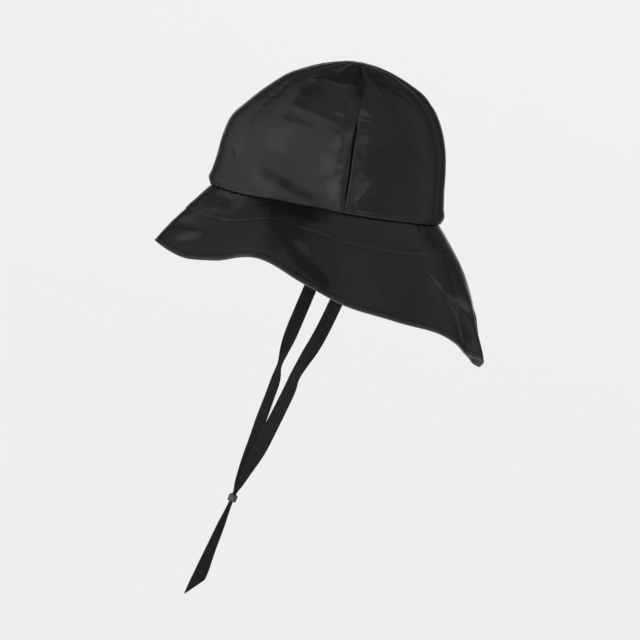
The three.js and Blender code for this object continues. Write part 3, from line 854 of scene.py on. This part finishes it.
# around, reach in millimetres, band slope left and right, edge slope left and right
brimSections = [
    (0, 1.00 * brim["front"], 49, 49, 56, 56),
    (25, 1.02 * brim["front"], 56, 55, 64, 64),
    (42, 0.99 * brim["front"], 48, 50, 63, 63),
    (60, 0.98 * brim["front"], 23, 30, 62, 62),
    (78, 0.94 * brim["side"], 33, 36, 68, 67),
    (95, 1.02 * brim["side"], 52, 50, 69, 68),
    (115, 1.09 * brim["side"], 56, 54, 68, 68),
    (135, 1.21 * brim["side"], 54, 46, 65, 69),
    (155, 0.92 * brim["back"], 52, 32, 68, 79),
    (170, 1.00 * brim["back"], 50, 42, 71, 77),
    (180, 1.00 * brim["back"], 50, 50, 74, 74),
]

# around, spread, where the fold starts as a share of the reach, height as a share of the side reach
brimFolds = [
    (151, 5, 0.34, -0.030),
    (160, 4.5, 0.32, 0.042),
    (170, 5, 0.42, -0.024),
    (-154, 7, 0.40, 0.026),
    (-167, 6, 0.45, -0.020),
    (118, 9, 0.45, -0.012),
    (-104, 10, 0.42, 0.014),
]

# Creases: from around and length, to around and length, width and height in millimetres.
brimCreases = [
    (129, 40, 144, 68, 1.8, 1.6),
    (144, 68, 158, 92, 2.2, 1.8),
    (143, 70, 150, 112, 2.4, 2.4),
    (147, 72, 156, 110, 3.2, -2.0),
    (133, 46, 143, 70, 2.4, -1.1),
    (164, 80, 171, 118, 2.2, 1.5),
    (120, 8, 127, 19, 1.2, -0.5),
    (122, 7, 129, 19, 2.0, 0.3),
    (-138, 36, -148, 74, 2.6, -0.8),
    (60, 12, 82, 13, 6.0, -0.5),
    (76, 0, 92, 1.5, 3.0, 0.6),
    (8, 52, 24, 46, 2.5, 0.7),
    (14, 60, 28, 54, 2.5, -0.5),
    (20, 2, 30, 8, 3.0, 0.6),
    (8, 20, 36, 14, 5.0, -1.2),
    (4, 30, 40, 30, 4.0, 0.9),
    (2, 44, 34, 42, 6.0, -1.3),
    (64, 28, 80, 68, 6.0, -0.6),
    (104, 44, 112, 70, 4.0, -0.4),
]

# Where the brim's coating shines less or more, laid out like its creases. Where the shine is lowest the
# colour is darkened as painted dark reflection, and where it is highest it is lightened as painted
# highlight.
brimShineAndPaintedLight = [
    (52, 14, 82, 11, 9.0, -0.8),
    (56, 22, 76, 34, 10.0, -0.8),
    (62, 38, 70, 54, 10.0, -0.7),
    (69, 52, 90, 76, 5.5, -0.9),
    (12, 16, 32, 12, 4.0, -0.6),
    (12, 3, 42, 5, 5.0, 1.0),
    (6, 26, 38, 22, 4.5, 1.0),
    (36, 10, 40, 20, 5.0, 0.7),
    (12, 60, 27, 47, 3.5, 1.2),
    (4, 44, 16, 36, 4.0, 1.0),
    (0, 50, 6, 64, 4.0, 0.8),
    (76, 1, 92, 1, 3.0, 0.9),
    (130, 41, 141, 66, 1.8, 1.4),
    (141, 66, 166, 84, 4.0, 2.0),
    (143, 72, 150, 108, 1.6, 2.0),
    (166, 84, 169, 122, 5.0, 2.0),
    (147, 80, 156, 108, 4.0, -0.8),
]


def brimSlope(around, share):
    turn, right = np.abs(wrapAngle(around)), wrapAngle(around) < 0
    band = np.where(right, readTable(brimSections, 3, turn), readTable(brimSections, 2, turn))
    edge = np.where(right, readTable(brimSections, 5, turn), readTable(brimSections, 4, turn))
    return np.radians(band + (edge - band) * easeBetween((share - brim["slopeStart"]) / brim["slopeSpan"]))


def foldHeight(around, share):
    total = 0
    for middle, spread, begin, height in brimFolds:
        across = wrapAngle(around - middle) / spread
        total = total + height * brim["side"] * bell(across) * easeBetween((share - begin) / (1 - begin))
    return total


def brimReach(around):
    return readTable(brimSections, 1, np.abs(wrapAngle(around)))


def outwardAt(around):
    turn = np.radians(around)
    across = np.sin(turn) / crown["width"]
    return unit(np.stack([across, -np.cos(turn) / crown["length"], np.zeros_like(across)], -1))


upright = np.array([0, 0, 1.0])


def upperNormal(around, slope):
    return outwardAt(around) * np.sin(slope)[..., None] + upright * np.cos(slope)[..., None]


# From the crown's inner face to the middle of the brim's cloth.
standOff = crown["seamGap"] + brim["wall"] / 2


# Where the brim's cloth leaves the crown seam at each angle: corner, normals there, start.
def brimStart(around):
    crownOut = crownNormals(around, np.zeros_like(around))
    corner = crownPoints(around, np.zeros_like(around)) - crown["wall"] * crownOut
    startNormal = upperNormal(around, brimSlope(around, np.zeros_like(around)))
    return corner, crownOut, startNormal, corner - standOff * startNormal


# Middle of the brim's cloth and its normals, at angles and lengths from the seam.
def brimMiddle(around, lengths):
    steps = brim["lineSteps"]
    reach = brimReach(around)[:, None]
    slopes = brimSlope(around[:, None], (np.arange(steps)[None] + 0.5) / steps)
    share = np.clip(lengths / reach, 0, 1)
    place = np.minimum(share * steps, steps - 1e-6)
    k = place.astype(int)

    def travelled(ways):
        total = np.concatenate([np.zeros((len(around), 1)), np.cumsum(ways * (reach / steps), 1)], 1)
        before, after = (np.take_along_axis(total, index, 1) for index in (k, k + 1))
        return (before * (1 - place + k) + after * (place - k))[..., None]

    points = brimStart(around)[3][:, None] + outwardAt(around)[:, None] * travelled(np.cos(slopes))
    points = points - upright * travelled(np.sin(slopes))
    wide = np.broadcast_to(around[:, None], share.shape)
    normals = upperNormal(wide, brimSlope(wide, share))
    return points + normals * foldHeight(wide, share)[..., None], normals


def brimStrokes(rows, around, lengths, fall=bell):
    def measure(fromAround, fromLength, toAround, toLength):
        perDegree = brim["perDegree"] + brim["perDegreeOutward"] * (fromLength + toLength) / 2
        run = np.array([wrapAngle(toAround - fromAround) * perDegree, toLength - fromLength])
        return wrapAngle(around - fromAround)[:, None] * perDegree, lengths - fromLength, run

    return strokeTotal(rows, lengths.shape, measure, fall)


# Ripples that sewing draws in the brim's cloth, in millimetres, by angle.
def sewnRipples(around, phase):
    turn = around[:, None]
    waves = 0
    for share, pace, shift in ((1, 0.81, 1), (0.7, 1.31, 2), (0.5, 0.47, 3)):
        waves = waves + share * np.sin(turn * pace + shift * phase)
    return waves / 1.5 * (0.6 + 0.4 * np.sin(turn * 0.093 + phase))


def brimRelief(around, lengths, points):
    relief = brim["softness"] * softWaves(points, 21, 7, 34, 90) * easeBetween(lengths / 14)
    relief += brim["fineSoftness"] * softWaves(points, 22, 8, 8, 16)
    relief += brimStrokes(brimCreases, around, lengths)
    return relief * easeBetween((lengths + 2) / 6)


# How far the band's edge stands above the skirt, flatter towards the back.
def lapStep(around):
    share = easeBetween((np.abs(wrapAngle(around)) - 98) / 18)
    return brim["lapStep"] + (brim["lapStepBack"] - brim["lapStep"]) * share[:, None]


# Upper face of the brim's band at angles and lengths from the seam.
def bandSurface(around, lengths):
    points, normals = brimMiddle(around, lengths)
    fromLap = lengths - brim["bandWidth"]
    relief = brimRelief(around, lengths, points)
    relief += brim["seamPuckers"] * sewnRipples(around, 0.7) * bell((lengths - 5) / 6)
    relief += brim["lapPuckers"] * sewnRipples(around, 2.2) * bell(fromLap / 7)
    relief -= brim["bandDent"] * bell((fromLap + brim["stitchAbove"]) / 0.6)
    relief -= brim["bandDent"] * bell((lengths - brim["crownStitch"]) / 0.6)
    return points + normals * (brim["wall"] / 2 + relief)[..., None], normals


# Upper face of the brim's skirt at angles and lengths from the seam.
def skirtSurface(around, lengths):
    points, normals = brimMiddle(around, lengths)
    fromLap = lengths - brim["bandWidth"]
    fromHem = brimReach(around)[:, None] - lengths
    sink = lapStep(around) * (1 - easeBetween((fromLap - 0.5) / brim["stepFade"]))
    relief = brimRelief(around, lengths, points)
    relief += brim["lapPuckers"] * sewnRipples(around, 2.2) * bell(fromLap / 7)
    relief += brim["hemPuckers"] * sewnRipples(around, 4.1) * bell((fromHem - 8) / 6)
    relief -= brim["skirtDent"] * bell((fromHem - brim["hemStitch"]) / 0.7)
    relief += brim["hemRidge"] * bell((fromHem - 1.1) / 0.8)
    relief -= brim["hemGroove"] * bell((fromHem - 2.5) / 0.8)
    relief -= brim["skirtDent"] * bell((fromLap - brim["stitchBelow"]) / 0.6)
    relief = relief * easeBetween((fromLap + 4) / 4)
    return points + normals * (brim["wall"] / 2 - sink + relief)[..., None], normals


brimAngles = np.arange(brim["columns"]) * 360 / brim["columns"]


# How the brim's coating shines: less at the front, more at the back. The low shine at the front and by the
# hem stitches also darkens the colour as painted dark reflection, and the raised shine along the edge
# lightens it as painted highlight.
def brimShineAndPaintedLightAt(around, lengths, edge):
    turn = np.abs(wrapAngle(around))[:, None]
    plain = brim["shine"] + brim["sideShine"] * easeBetween((turn - 70) / 30)
    plain = plain + brim["backShine"] * easeBetween((turn - 135) / 25)
    toEdge = lengths[:, -1:] - lengths
    plain = plain + edge * bell((toEdge - 0.6) / 1.7) - edge * 0.4 * bell((toEdge - 4.6) / 0.9)
    return np.clip(plain + brimStrokes(brimShineAndPaintedLight, around, lengths, patch), 0, 3)


def makeBrimRing(name, node, middle, swell, wear, shine, width):
    values = {"wear": np.clip(wear, 0, 1), "shine": shine}
    piece = makeCloth(name, middle + swell, middle - swell, [coatedCloth, clothBacking], True, values)
    area = clothArea(middle, ring=True)
    border = middle[:, -1]
    length = float(np.linalg.norm(np.roll(border, -1, axis=0) - border, axis=-1).sum()) * metres
    handOver(piece, node, (width, max(length, area / width)), area)


def makeBand():
    half = brim["wall"] / 2
    corner, crownOut, startNormal, _ = brimStart(brimAngles)
    rows = []
    for share in (1, 0.97, 0.9, 0.75, 0.5, 0.25, 0.1):
        inside = share * brim["seamAllowance"]
        up = np.full(len(brimAngles), upAtHeight(inside))
        normal = crownNormals(brimAngles, up)
        place = crownPoints(brimAngles, up) - (crown["wall"] + standOff + brim["hiddenGap"]) * normal
        rows.append((place, normal, -inside))
    for part in (0, 0.25, 0.5, 0.75):
        normal = unit(crownOut * (1 - part) + startNormal * part)
        rows.append((corner - standOff * normal, normal, 0.0))
    places, faces, lengths = zip(*rows)
    runs = packedSteps(0, brim["bandWidth"], 1.2, [0, 0.12, 0.35, 0.7, 1.1, 1.6, 2.2])
    top, normal = bandSurface(brimAngles, np.repeat(runs[None], len(brimAngles), 0))
    pressed = easeBetween((runs - brim["bandWidth"] + 9) / 7)[None]
    halfBand = half * (1 - pressed) + (lapStep(brimAngles) - 0.1) / 2 * pressed
    middle = np.concatenate([np.stack(places, 1), top - halfBand[..., None] * normal], 1)
    face = np.concatenate([np.stack(faces, 1), normal], 1)
    along = np.concatenate([lengths, runs])
    half = np.concatenate([np.full((len(brimAngles), len(lengths)), half), halfBand], 1)
    thin = roundedEdge(along + brim["seamAllowance"], half) * roundedEdge(brim["bandWidth"] - along, half)
    along = np.repeat(along[None], len(brimAngles), 0)
    wear = bell((brim["bandWidth"] - along) / 2.2) + 0.3 * bell(along / 3)
    # A weaker painted highlight along the band's edge.
    shine = brimShineAndPaintedLightAt(brimAngles, along, 0.5)
    width = (brim["bandWidth"] + brim["seamAllowance"] + 1) * metres
    makeBrimRing("brimBand", "brim_upper", middle, (half * thin)[..., None] * face, wear, shine, width)


def makeSkirt():
    reach = brimReach(brimAngles)[:, None]
    low = brim["bandWidth"] - brim["lapWidth"]
    run = 78  # the skirt's steps are laid out on this length
    shares = packedSteps(0, run, 1.25, [0, 0.12, 0.35, 0.7, 1.2, 1.8, 2.6, 3.4, 4.2, 5.0, 5.8, 6.6]) / run
    lengths = low + (reach - low) * shares
    top, normal = skirtSurface(brimAngles, lengths)
    fromHem = reach - lengths
    swellIn = easeBetween((brim["hemWidth"] + 0.7 - fromHem) / 0.9)
    half = (brim["wall"] + (brim["hemWall"] - brim["wall"]) * swellIn) / 2
    thin = roundedEdge(lengths - low, brim["wall"] / 2) * roundedEdge(fromHem, brim["hemWall"] / 2)
    middle = top - half[..., None] * normal
    wear = bell(fromHem / 2.6) + 0.35 * bell((fromHem - brim["hemStitch"]) / 1.2)
    # The strongest painted highlight along the skirt's rolled hem edge.
    shine = brimShineAndPaintedLightAt(brimAngles, lengths, 1.5)
    width = float(reach.max() - low) * metres
    makeBrimRing("brimSkirt", "brim_lower", middle, (half * thin)[..., None] * normal, wear, shine, width)


makeBand()
makeSkirt()
print("brim made")


# Lengths in millimetres, angles in degrees.
strap = {
    "width": 12,
    "thickness": 1.0,
    "bunchWidth": 3.3,
    "bunchThickness": 1.4,
    "drop": 265,
    "forward": 34.5,
    "anchorAround": 108,
    "tailLength": 92,
    "tailForward": 21,
    "tailSlant": 9,
    "beadDiameter": 7.6,
    "beadLength": 6.6,
    "beadRound": 1.4,
    "beadLip": 0.35,
    "beadBulge": 0.12,
    "beadSides": 56,
    "strandSteps": 190,
    "tailSteps": 80,
    "foldSteps": 18,
}

# share of the drop, bow of the left and the right strand, how far each is turned, gather
strandRows = [
    (0.00, 0.000, 0.000, 0.00, 0.00, 0.00),
    (0.15, 0.009, 0.000, 0.00, 0.00, 0.00),
    (0.30, 0.016, -0.004, 0.01, 0.01, 0.00),
    (0.46, 0.0145, -0.0105, 0.10, 0.05, 0.00),
    (0.52, 0.0075, -0.012, 0.25, 0.21, 0.00),
    (0.57, 0.004, -0.0095, 0.30, 0.33, 0.00),
    (0.61, 0.008, -0.005, 0.23, 0.22, 0.00),
    (0.68, 0.0095, -0.0035, 0.18, 0.18, 0.00),
    (0.76, 0.0095, -0.003, 0.14, 0.16, 0.00),
    (0.85, 0.008, 0.000, 0.06, 0.12, 0.05),
    (0.92, 0.003, 0.000, 0.02, 0.03, 0.36),
    (0.97, 0.001, -0.001, 0.00, 0.00, 0.72),
    (1.00, 0.000, 0.000, 0.00, 0.00, 1.00),
]

# share of the way down the tail, gather
tailRows = [
    (0.00, 1.00),
    (0.10, 0.90),
    (0.24, 0.68),
    (0.50, 0.42),
    (0.76, 0.14),
    (0.90, 0.00),
    (1.00, 0.00),
]

beadPlace = np.array([0, -strap["forward"], -strap["drop"]], float)
tailDrop = np.sqrt(strap["tailLength"] ** 2 - strap["tailForward"] ** 2)
tailDown = unit(np.array([0, -strap["tailForward"], -tailDrop]))
sideways = np.array([1.0, 0, 0])
tapeAcross = unit(np.cross(sideways, tailDown))
strandGap = crown["seamGap"] + 0.1


def mixed(first, second, share):
    return first + (second - first) * share


def strandOffset(gather):
    return (mixed(strap["thickness"], strap["bunchThickness"], gather) + strandGap) / 2


# Where a strand runs inside the seam allowance, at a height above the crown's seam.
def anchorPoint(side, height):
    around = np.array(float(side * strap["anchorAround"]))
    bowOfSeam = strap["width"] ** 2 / 4 / crown["width"]
    inset = crown["wall"] + brim["wall"] + 2 * crown["seamGap"] + bowOfSeam + strap["thickness"] / 2
    return crownPoints(around, upAtHeight(height)) - inset * outwardAt(around)


def turned(vector, axis, angle):
    level = axis * (axis @ vector) * (1 - cos(angle))
    return vector * cos(angle) + np.cross(axis, vector) * sin(angle) + level


# Stations of the tape: its middle, the way across it, the way it faces and its gather.
def strandStations(side):
    outward = outwardAt(np.array(float(side * strap["anchorAround"])))
    anchorAcross = unit(np.cross(upright, outward))
    if anchorAcross[1] < 0:
        anchorAcross = -anchorAcross
    low = anchorPoint(side, 0)
    beadTop = beadPlace - tailDown * (strap["beadLength"] / 2 + strap["beadRound"])
    beadTop = beadTop + sideways * side * strandOffset(1)
    column = 1 if side > 0 else 2

    def centreAt(down):
        bow = float(readTable(strandRows, column, down)) * strap["drop"]
        return mixed(low, beadTop, down) + np.array([0, bow, 0])

    stations = []
    for share in (1, 0.98, 0.9, 0.7, 0.4):
        stations.append((anchorPoint(side, share * brim["seamAllowance"]), anchorAcross, outward, 0.0))
    for k in range(strap["strandSteps"] + 1):
        down = k / strap["strandSteps"]
        ahead = unit(centreAt(min(down + 0.002, 1)) - centreAt(max(down - 0.002, 0)))
        if k == strap["strandSteps"]:
            ahead = tailDown
        across = mixed(anchorAcross, tapeAcross, float(easeBetween(4 * down)))
        across = unit(across - ahead * (across @ ahead))
        turn = side * float(readTable(strandRows, column + 2, down)) * pi
        across = turned(across, ahead, turn)
        face = unit(np.cross(ahead, across)) * (1 if side > 0 else -1)
        stations.append((centreAt(down), across, face, float(readTable(strandRows, 5, down))))
    return stations


def slantedAcross(down):
    slant = 2 * strap["tailSlant"] * float(easeBetween((down - 0.5) * 2)) / strap["width"]
    return tapeAcross - tailDown * slant


def tailStations(side):
    beadEnd = beadPlace + tailDown * (strap["beadLength"] / 2 + strap["beadRound"])
    length = strap["tailLength"] - strap["beadLength"] / 2 - strap["beadRound"]
    face = sideways * side
    stations = []
    for k in range(strap["tailSteps"] + 1):
        down = k / strap["tailSteps"]
        gather = float(readTable(tailRows, 1, down))
        centre = beadEnd + tailDown * down * (length - strap["tailSlant"]) + face * strandOffset(gather)
        stations.append((centre, slantedAcross(down), face, gather))
    return stations


def foldStations():
    centre = beadPlace + tailDown * (strap["tailLength"] - strap["tailSlant"])
    stations = []
    for k in range(1, strap["foldSteps"]):
        turn = pi * k / strap["foldSteps"]
        face = sideways * cos(turn) + tailDown * sin(turn)
        stations.append((centre + face * strandOffset(0), slantedAcross(1), face, 0.0))
    return stations


def makeStrap(bead):
    left = strandStations(1) + tailStations(1)
    right = (strandStations(-1) + tailStations(-1))[::-1]
    stations = left + foldStations() + right
    centres, across, faces, gather = (np.array([station[n] for station in stations]) for n in range(4))
    run, gather = travelAlong(centres)[:, None], gather[:, None]
    length = run[-1, 0]
    shares = np.array([-1, -0.985, -0.94, -0.86, -0.74, -0.6, -0.45, -0.3, -0.15, 0])
    shares = np.concatenate([shares, -shares[-2::-1]])
    halfThick = strap["thickness"] / 2
    reach = shares * mixed(strap["width"], strap["bunchWidth"], gather) / 2
    crumple = 0.30 * easeBetween(gather * 1.3) * np.sin(shares * 3 * pi + run / 9)
    cup = 0.16 * (1 - gather) * np.sin(run / 23) * (shares ** 2 - 0.5)
    wander = 0.10 * np.sin(run / 6.3 + 2 * shares) * (1 - gather)
    ends = roundedEdge(run, halfThick) * roundedEdge(length - run, halfThick)
    swell = halfThick * ends * roundedEdge(strap["width"] / 2 * (1 - np.abs(shares)), halfThick)
    middle = centres[:, None] + across[:, None] * reach[..., None]
    middle = middle + faces[:, None] * (crumple + cup + wander)[..., None]
    lift = faces[:, None] * swell[..., None]
    values = {
        "alongTape": run,
        "acrossTape": shares * strap["width"] / 2,
        # Marks the far strand, on the wearer's right, for painted fill light.
        "paintedFillLight": np.clip(-centres[:, :1] / 20, 0, 1),
    }
    values = {key: np.broadcast_to(numbers, reach.shape) for key, numbers in values.items()}
    piece = makeCloth("chinStrap", middle + lift, middle - lift, [wovenTape], values=values)
    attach(piece, "root")
    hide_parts("chin_strap")


# A drilled barrel with rounded ends, turned round the line of the tail.
def makeBead():
    hole = np.hypot(strap["bunchWidth"] / 2, strap["bunchThickness"] + strandGap / 2) + crown["seamGap"]
    outer, half = strap["beadDiameter"] / 2, strap["beadLength"] / 2
    lip, rounding = strap["beadLip"], strap["beadRound"]
    flank = half - rounding
    end = [(hole + lip * (1 - cos(t)), half - lip + lip * sin(t)) for t in np.linspace(0.3, pi / 2, 5)]
    for t in np.linspace(0, pi / 2, 9):
        end.append((outer - rounding + rounding * sin(t), flank + rounding * cos(t)))
    profile = [(hole, height) for height in np.linspace(-half + lip, half - lip, 7)] + end
    for height in np.linspace(flank, -flank, 9)[1:-1]:
        profile.append((outer + strap["beadBulge"] * (1 - (height / flank) ** 2), height))
    profile += [(width, -height) for width, height in end[::-1]]
    radius, height = np.array(profile).T[..., None]
    turn = circleSteps(strap["beadSides"])[:, None]
    spoke = sideways * np.cos(turn) + tapeAcross * np.sin(turn)
    points = beadPlace + spoke[:, None] * radius - tailDown * height
    faces = gridFaces(pointNumbers(*points.shape[:2]), ring=True, tube=True)
    piece = makeMesh("strapBead", points.reshape(-1, 3), faces, [beadPlastic])
    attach(piece, "root")
    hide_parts("strap_bead")
    return piece


makeStrap(makeBead())
print("strap made")


# Lengths in millimetres.
stitch = {
    "length": 2.5,
    "pitch": 3.3,
    "radius": 0.21,
    "rings": 6,
    "sides": 6,
    "lift": -0.10,
    "dive": 0.30,
    "lookAhead": 0.6,
    "bluntness": 1.03,
}


# Stitches along a row of points with normals: short threads that dive in at both ends.
def stitchRow(points, normals, closed=False):
    if closed:
        points, normals = (np.concatenate([values, values[:1]]) for values in (points, normals))
    travelled = travelAlong(points)
    length = travelled[-1]
    count = max(1, int(length / stitch["pitch"]))
    starts = (np.arange(count) + 0.5) * length / count

    def at(values, place):
        place = np.clip(place, 0, length)
        return np.stack([np.interp(place, travelled, values[:, n]) for n in range(3)], -1)

    bend = np.linspace(-1, 1, stitch["rings"])
    turn = circleSteps(stitch["sides"])[:, None]
    place = starts[:, None] + bend * stitch["length"] / 2
    normal = unit(at(normals, place))
    ahead = unit(at(points, starts + stitch["lookAhead"]) - at(points, starts - stitch["lookAhead"]))
    across = unit(np.cross(normal, ahead[:, None]))
    thick = stitch["radius"] * np.sqrt(np.clip(stitch["bluntness"] - bend ** 2, 0, 1))
    lift = stitch["lift"] - stitch["dive"] * bend ** 4
    centre = at(points, place) + normal * lift[:, None]
    ring = across[:, :, None] * np.cos(turn) + normal[:, :, None] * np.sin(turn)
    return centre[:, :, None] + ring * thick[:, None, None]


def makeStitches(name, rows):
    threads = np.concatenate(rows)
    count, rings, sides = threads.shape[:3]
    faces = gridFaces(pointNumbers(rings, sides), tube=True)
    faces = (faces[None] + np.arange(count)[:, None, None] * rings * sides).reshape(-1, 4)
    piece = makeMesh(name, threads.reshape(-1, 3), faces, [sewingThread])
    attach(piece, "root")
    print(f"{name} {count} stitches")


# Both rows beside each seam of the crown, and the row above its lower edge.
def crownStitchRows():
    up = np.arange(2.0, crown["rowEnd"] * profileLength, 0.5) / profileLength
    low = np.full(160, crown["stitchFromEdge"] / profileLength)  # 160 places along a gore's edge
    rows = []
    for gore in gores:
        start, end = goreEdges(gore, up)
        lowStart, lowEnd = (float(edge[0]) for edge in goreEdges(gore, low))
        beside = crown["stitchFromSeam"]
        for around, height in (
            (start + beside / crownDegree(start, up), up),
            (end - beside / crownDegree(end, up), up),
            (np.linspace(lowStart + 0.4, lowEnd - 0.4, len(low)), low),
        ):
            surface, normals, _ = goreSurface(gore, around, height)
            rows.append(stitchRow(surface, normals))
    return rows


def brimStitchRows():
    angles = np.arange(0, 360, 0.25)
    rows = []
    for surface, length in (
        (bandSurface, brim["crownStitch"]),
        (bandSurface, brim["bandWidth"] - brim["stitchAbove"]),
        (skirtSurface, brim["bandWidth"] + brim["stitchBelow"]),
        (skirtSurface, brimReach(angles) - brim["hemStitch"]),
    ):
        points, normals = surface(angles, np.broadcast_to(length, angles.shape)[:, None])
        rows.append(stitchRow(points[:, 0], normals[:, 0], closed=True))
    return rows


makeStitches("crownStitches", crownStitchRows())
makeStitches("brimStitches", brimStitchRows())
print("stitches made")


# Lengths in metres.
stage = {
    "floorHeight": -0.62,
    "flatRadius": 5.5,
    "wallRadius": 9.0,
    "wallHeight": 7.0,
    "sides": 96,
    "glow": 0.788,
    "shade": 0.12,
    "mottle": 1.05,
}


# A pale floor that curves up into a wall, open above.
def makeStage(look):
    glow = {"Emission Color": (1, 1, 1, 1), "Emission Strength": look["glow"]}
    finish = newFinish("stagePaper", {"Roughness": 0.95, "Specular IOR Level": 0.05, **glow})
    paper = finish.noise(finish.place(), 3, 3, 0.5)
    shades = ((look["shade"],) * 3, (look["shade"] * look["mottle"],) * 3)
    finish.feed(colour=finish.blendColours(paper, *shades))
    rounding = look["wallRadius"] - look["flatRadius"]
    profile = [(0.01, 0), (2.5, 0), (look["flatRadius"], 0)]
    for t in np.linspace(0.1, pi / 2, 14):
        profile.append((look["flatRadius"] + rounding * sin(t), rounding * (1 - cos(t))))
    profile.append((look["wallRadius"], look["wallHeight"]))
    radius, height = np.array(profile).T
    turn = circleSteps(look["sides"])[:, None]
    x, y = radius * np.cos(turn), radius * np.sin(turn)
    points = np.stack([x, y, np.broadcast_to(look["floorHeight"] + height, x.shape)], -1) / metres
    faces = gridFaces(pointNumbers(*x.shape), ring=True)
    floor = makeMesh("paleStage", points.reshape(-1, 3), faces, [finish.material])
    floor.visible_glossy = False
    floor.visible_diffuse = False


# azimuth, elevation, distance, size, power
lamps = {
    "keyLight": (28, 20, 2.6, 1.3, 1),
    "fillLight": (118, 40, 3.2, 2.0, 1),
}

# How bright the room is: its plain walls, dark behind the hat, a wide light box at the hat's
# front and left, a lighter strip behind, and the floor below. Each edge goes from nothing to
# all of it.
room = {
    "dark": 0.08,
    "plain": 0.50,
    "plainAzimuth": 98,
    "plainEdge": (-0.45, 0.05),
    "box": 1.20,
    "boxLeftAzimuth": 60,
    "boxLeftEdge": (-0.55, 0.55),
    "boxRightAzimuth": 11,
    "boxRightEdge": (0.0, 0.05),
    "boxTop": (0.815, 0.86),
    "behind": 0.5,
    "behindAzimuth": -100,
    "behindEdge": (0.93, 0.99),
    "below": 1.5,
    "belowEdge": (0.55, 0.85),
}


# A soft room round the hat, which its coated cloth reflects.
def makeRoom(look):
    world = bpy.data.worlds.new("softRoom")
    world.use_nodes = True
    finish = Finish(world.node_tree)
    x, y, height = finish.parts(finish.add("ShaderNodeTexCoord", output="Generated"))

    def facing(azimuth, low, high):
        a = radians(azimuth)
        return finish.between(x * sin(a) - y * cos(a), low, high)

    plain = facing(look["plainAzimuth"], *look["plainEdge"]) * (look["plain"] - look["dark"]) + look["dark"]
    plain = plain + facing(look["behindAzimuth"], *look["behindEdge"]) * look["behind"]
    box = facing(look["boxLeftAzimuth"], *look["boxLeftEdge"])
    box = box * facing(look["boxRightAzimuth"], *look["boxRightEdge"])
    box = box * (1 - finish.between(height, *look["boxTop"]))
    level = plain * (1 - box) + box * look["box"]
    lowered = finish.between(0 - height, *look["belowEdge"])
    level = level * (1 - lowered) + lowered * look["below"]
    background = finish.tree.nodes["Background"]
    finish.tree.links.new(level.socket, background.inputs["Strength"])
    background.inputs["Color"].default_value = (0.98, 0.99, 1.0, 1)
    scene.world = world


def makeLamp(name, azimuth, elevation, distance, size, power):
    back = directionTo(azimuth, elevation)
    data = bpy.data.lights.new(name, "AREA")
    data.shape = "DISK"
    data.size = size
    data.energy = power
    lamp = bpy.data.objects.new(name, data)
    lamp.location = back * distance + Vector((0, 0, 0.02))
    lamp.rotation_euler = back.to_track_quat("Z", "Y").to_euler()
    scene.collection.objects.link(lamp)


makeStage(stage)
for name, facts in lamps.items():
    makeLamp(name, *facts)
makeRoom(room)
print("stage and lights made")
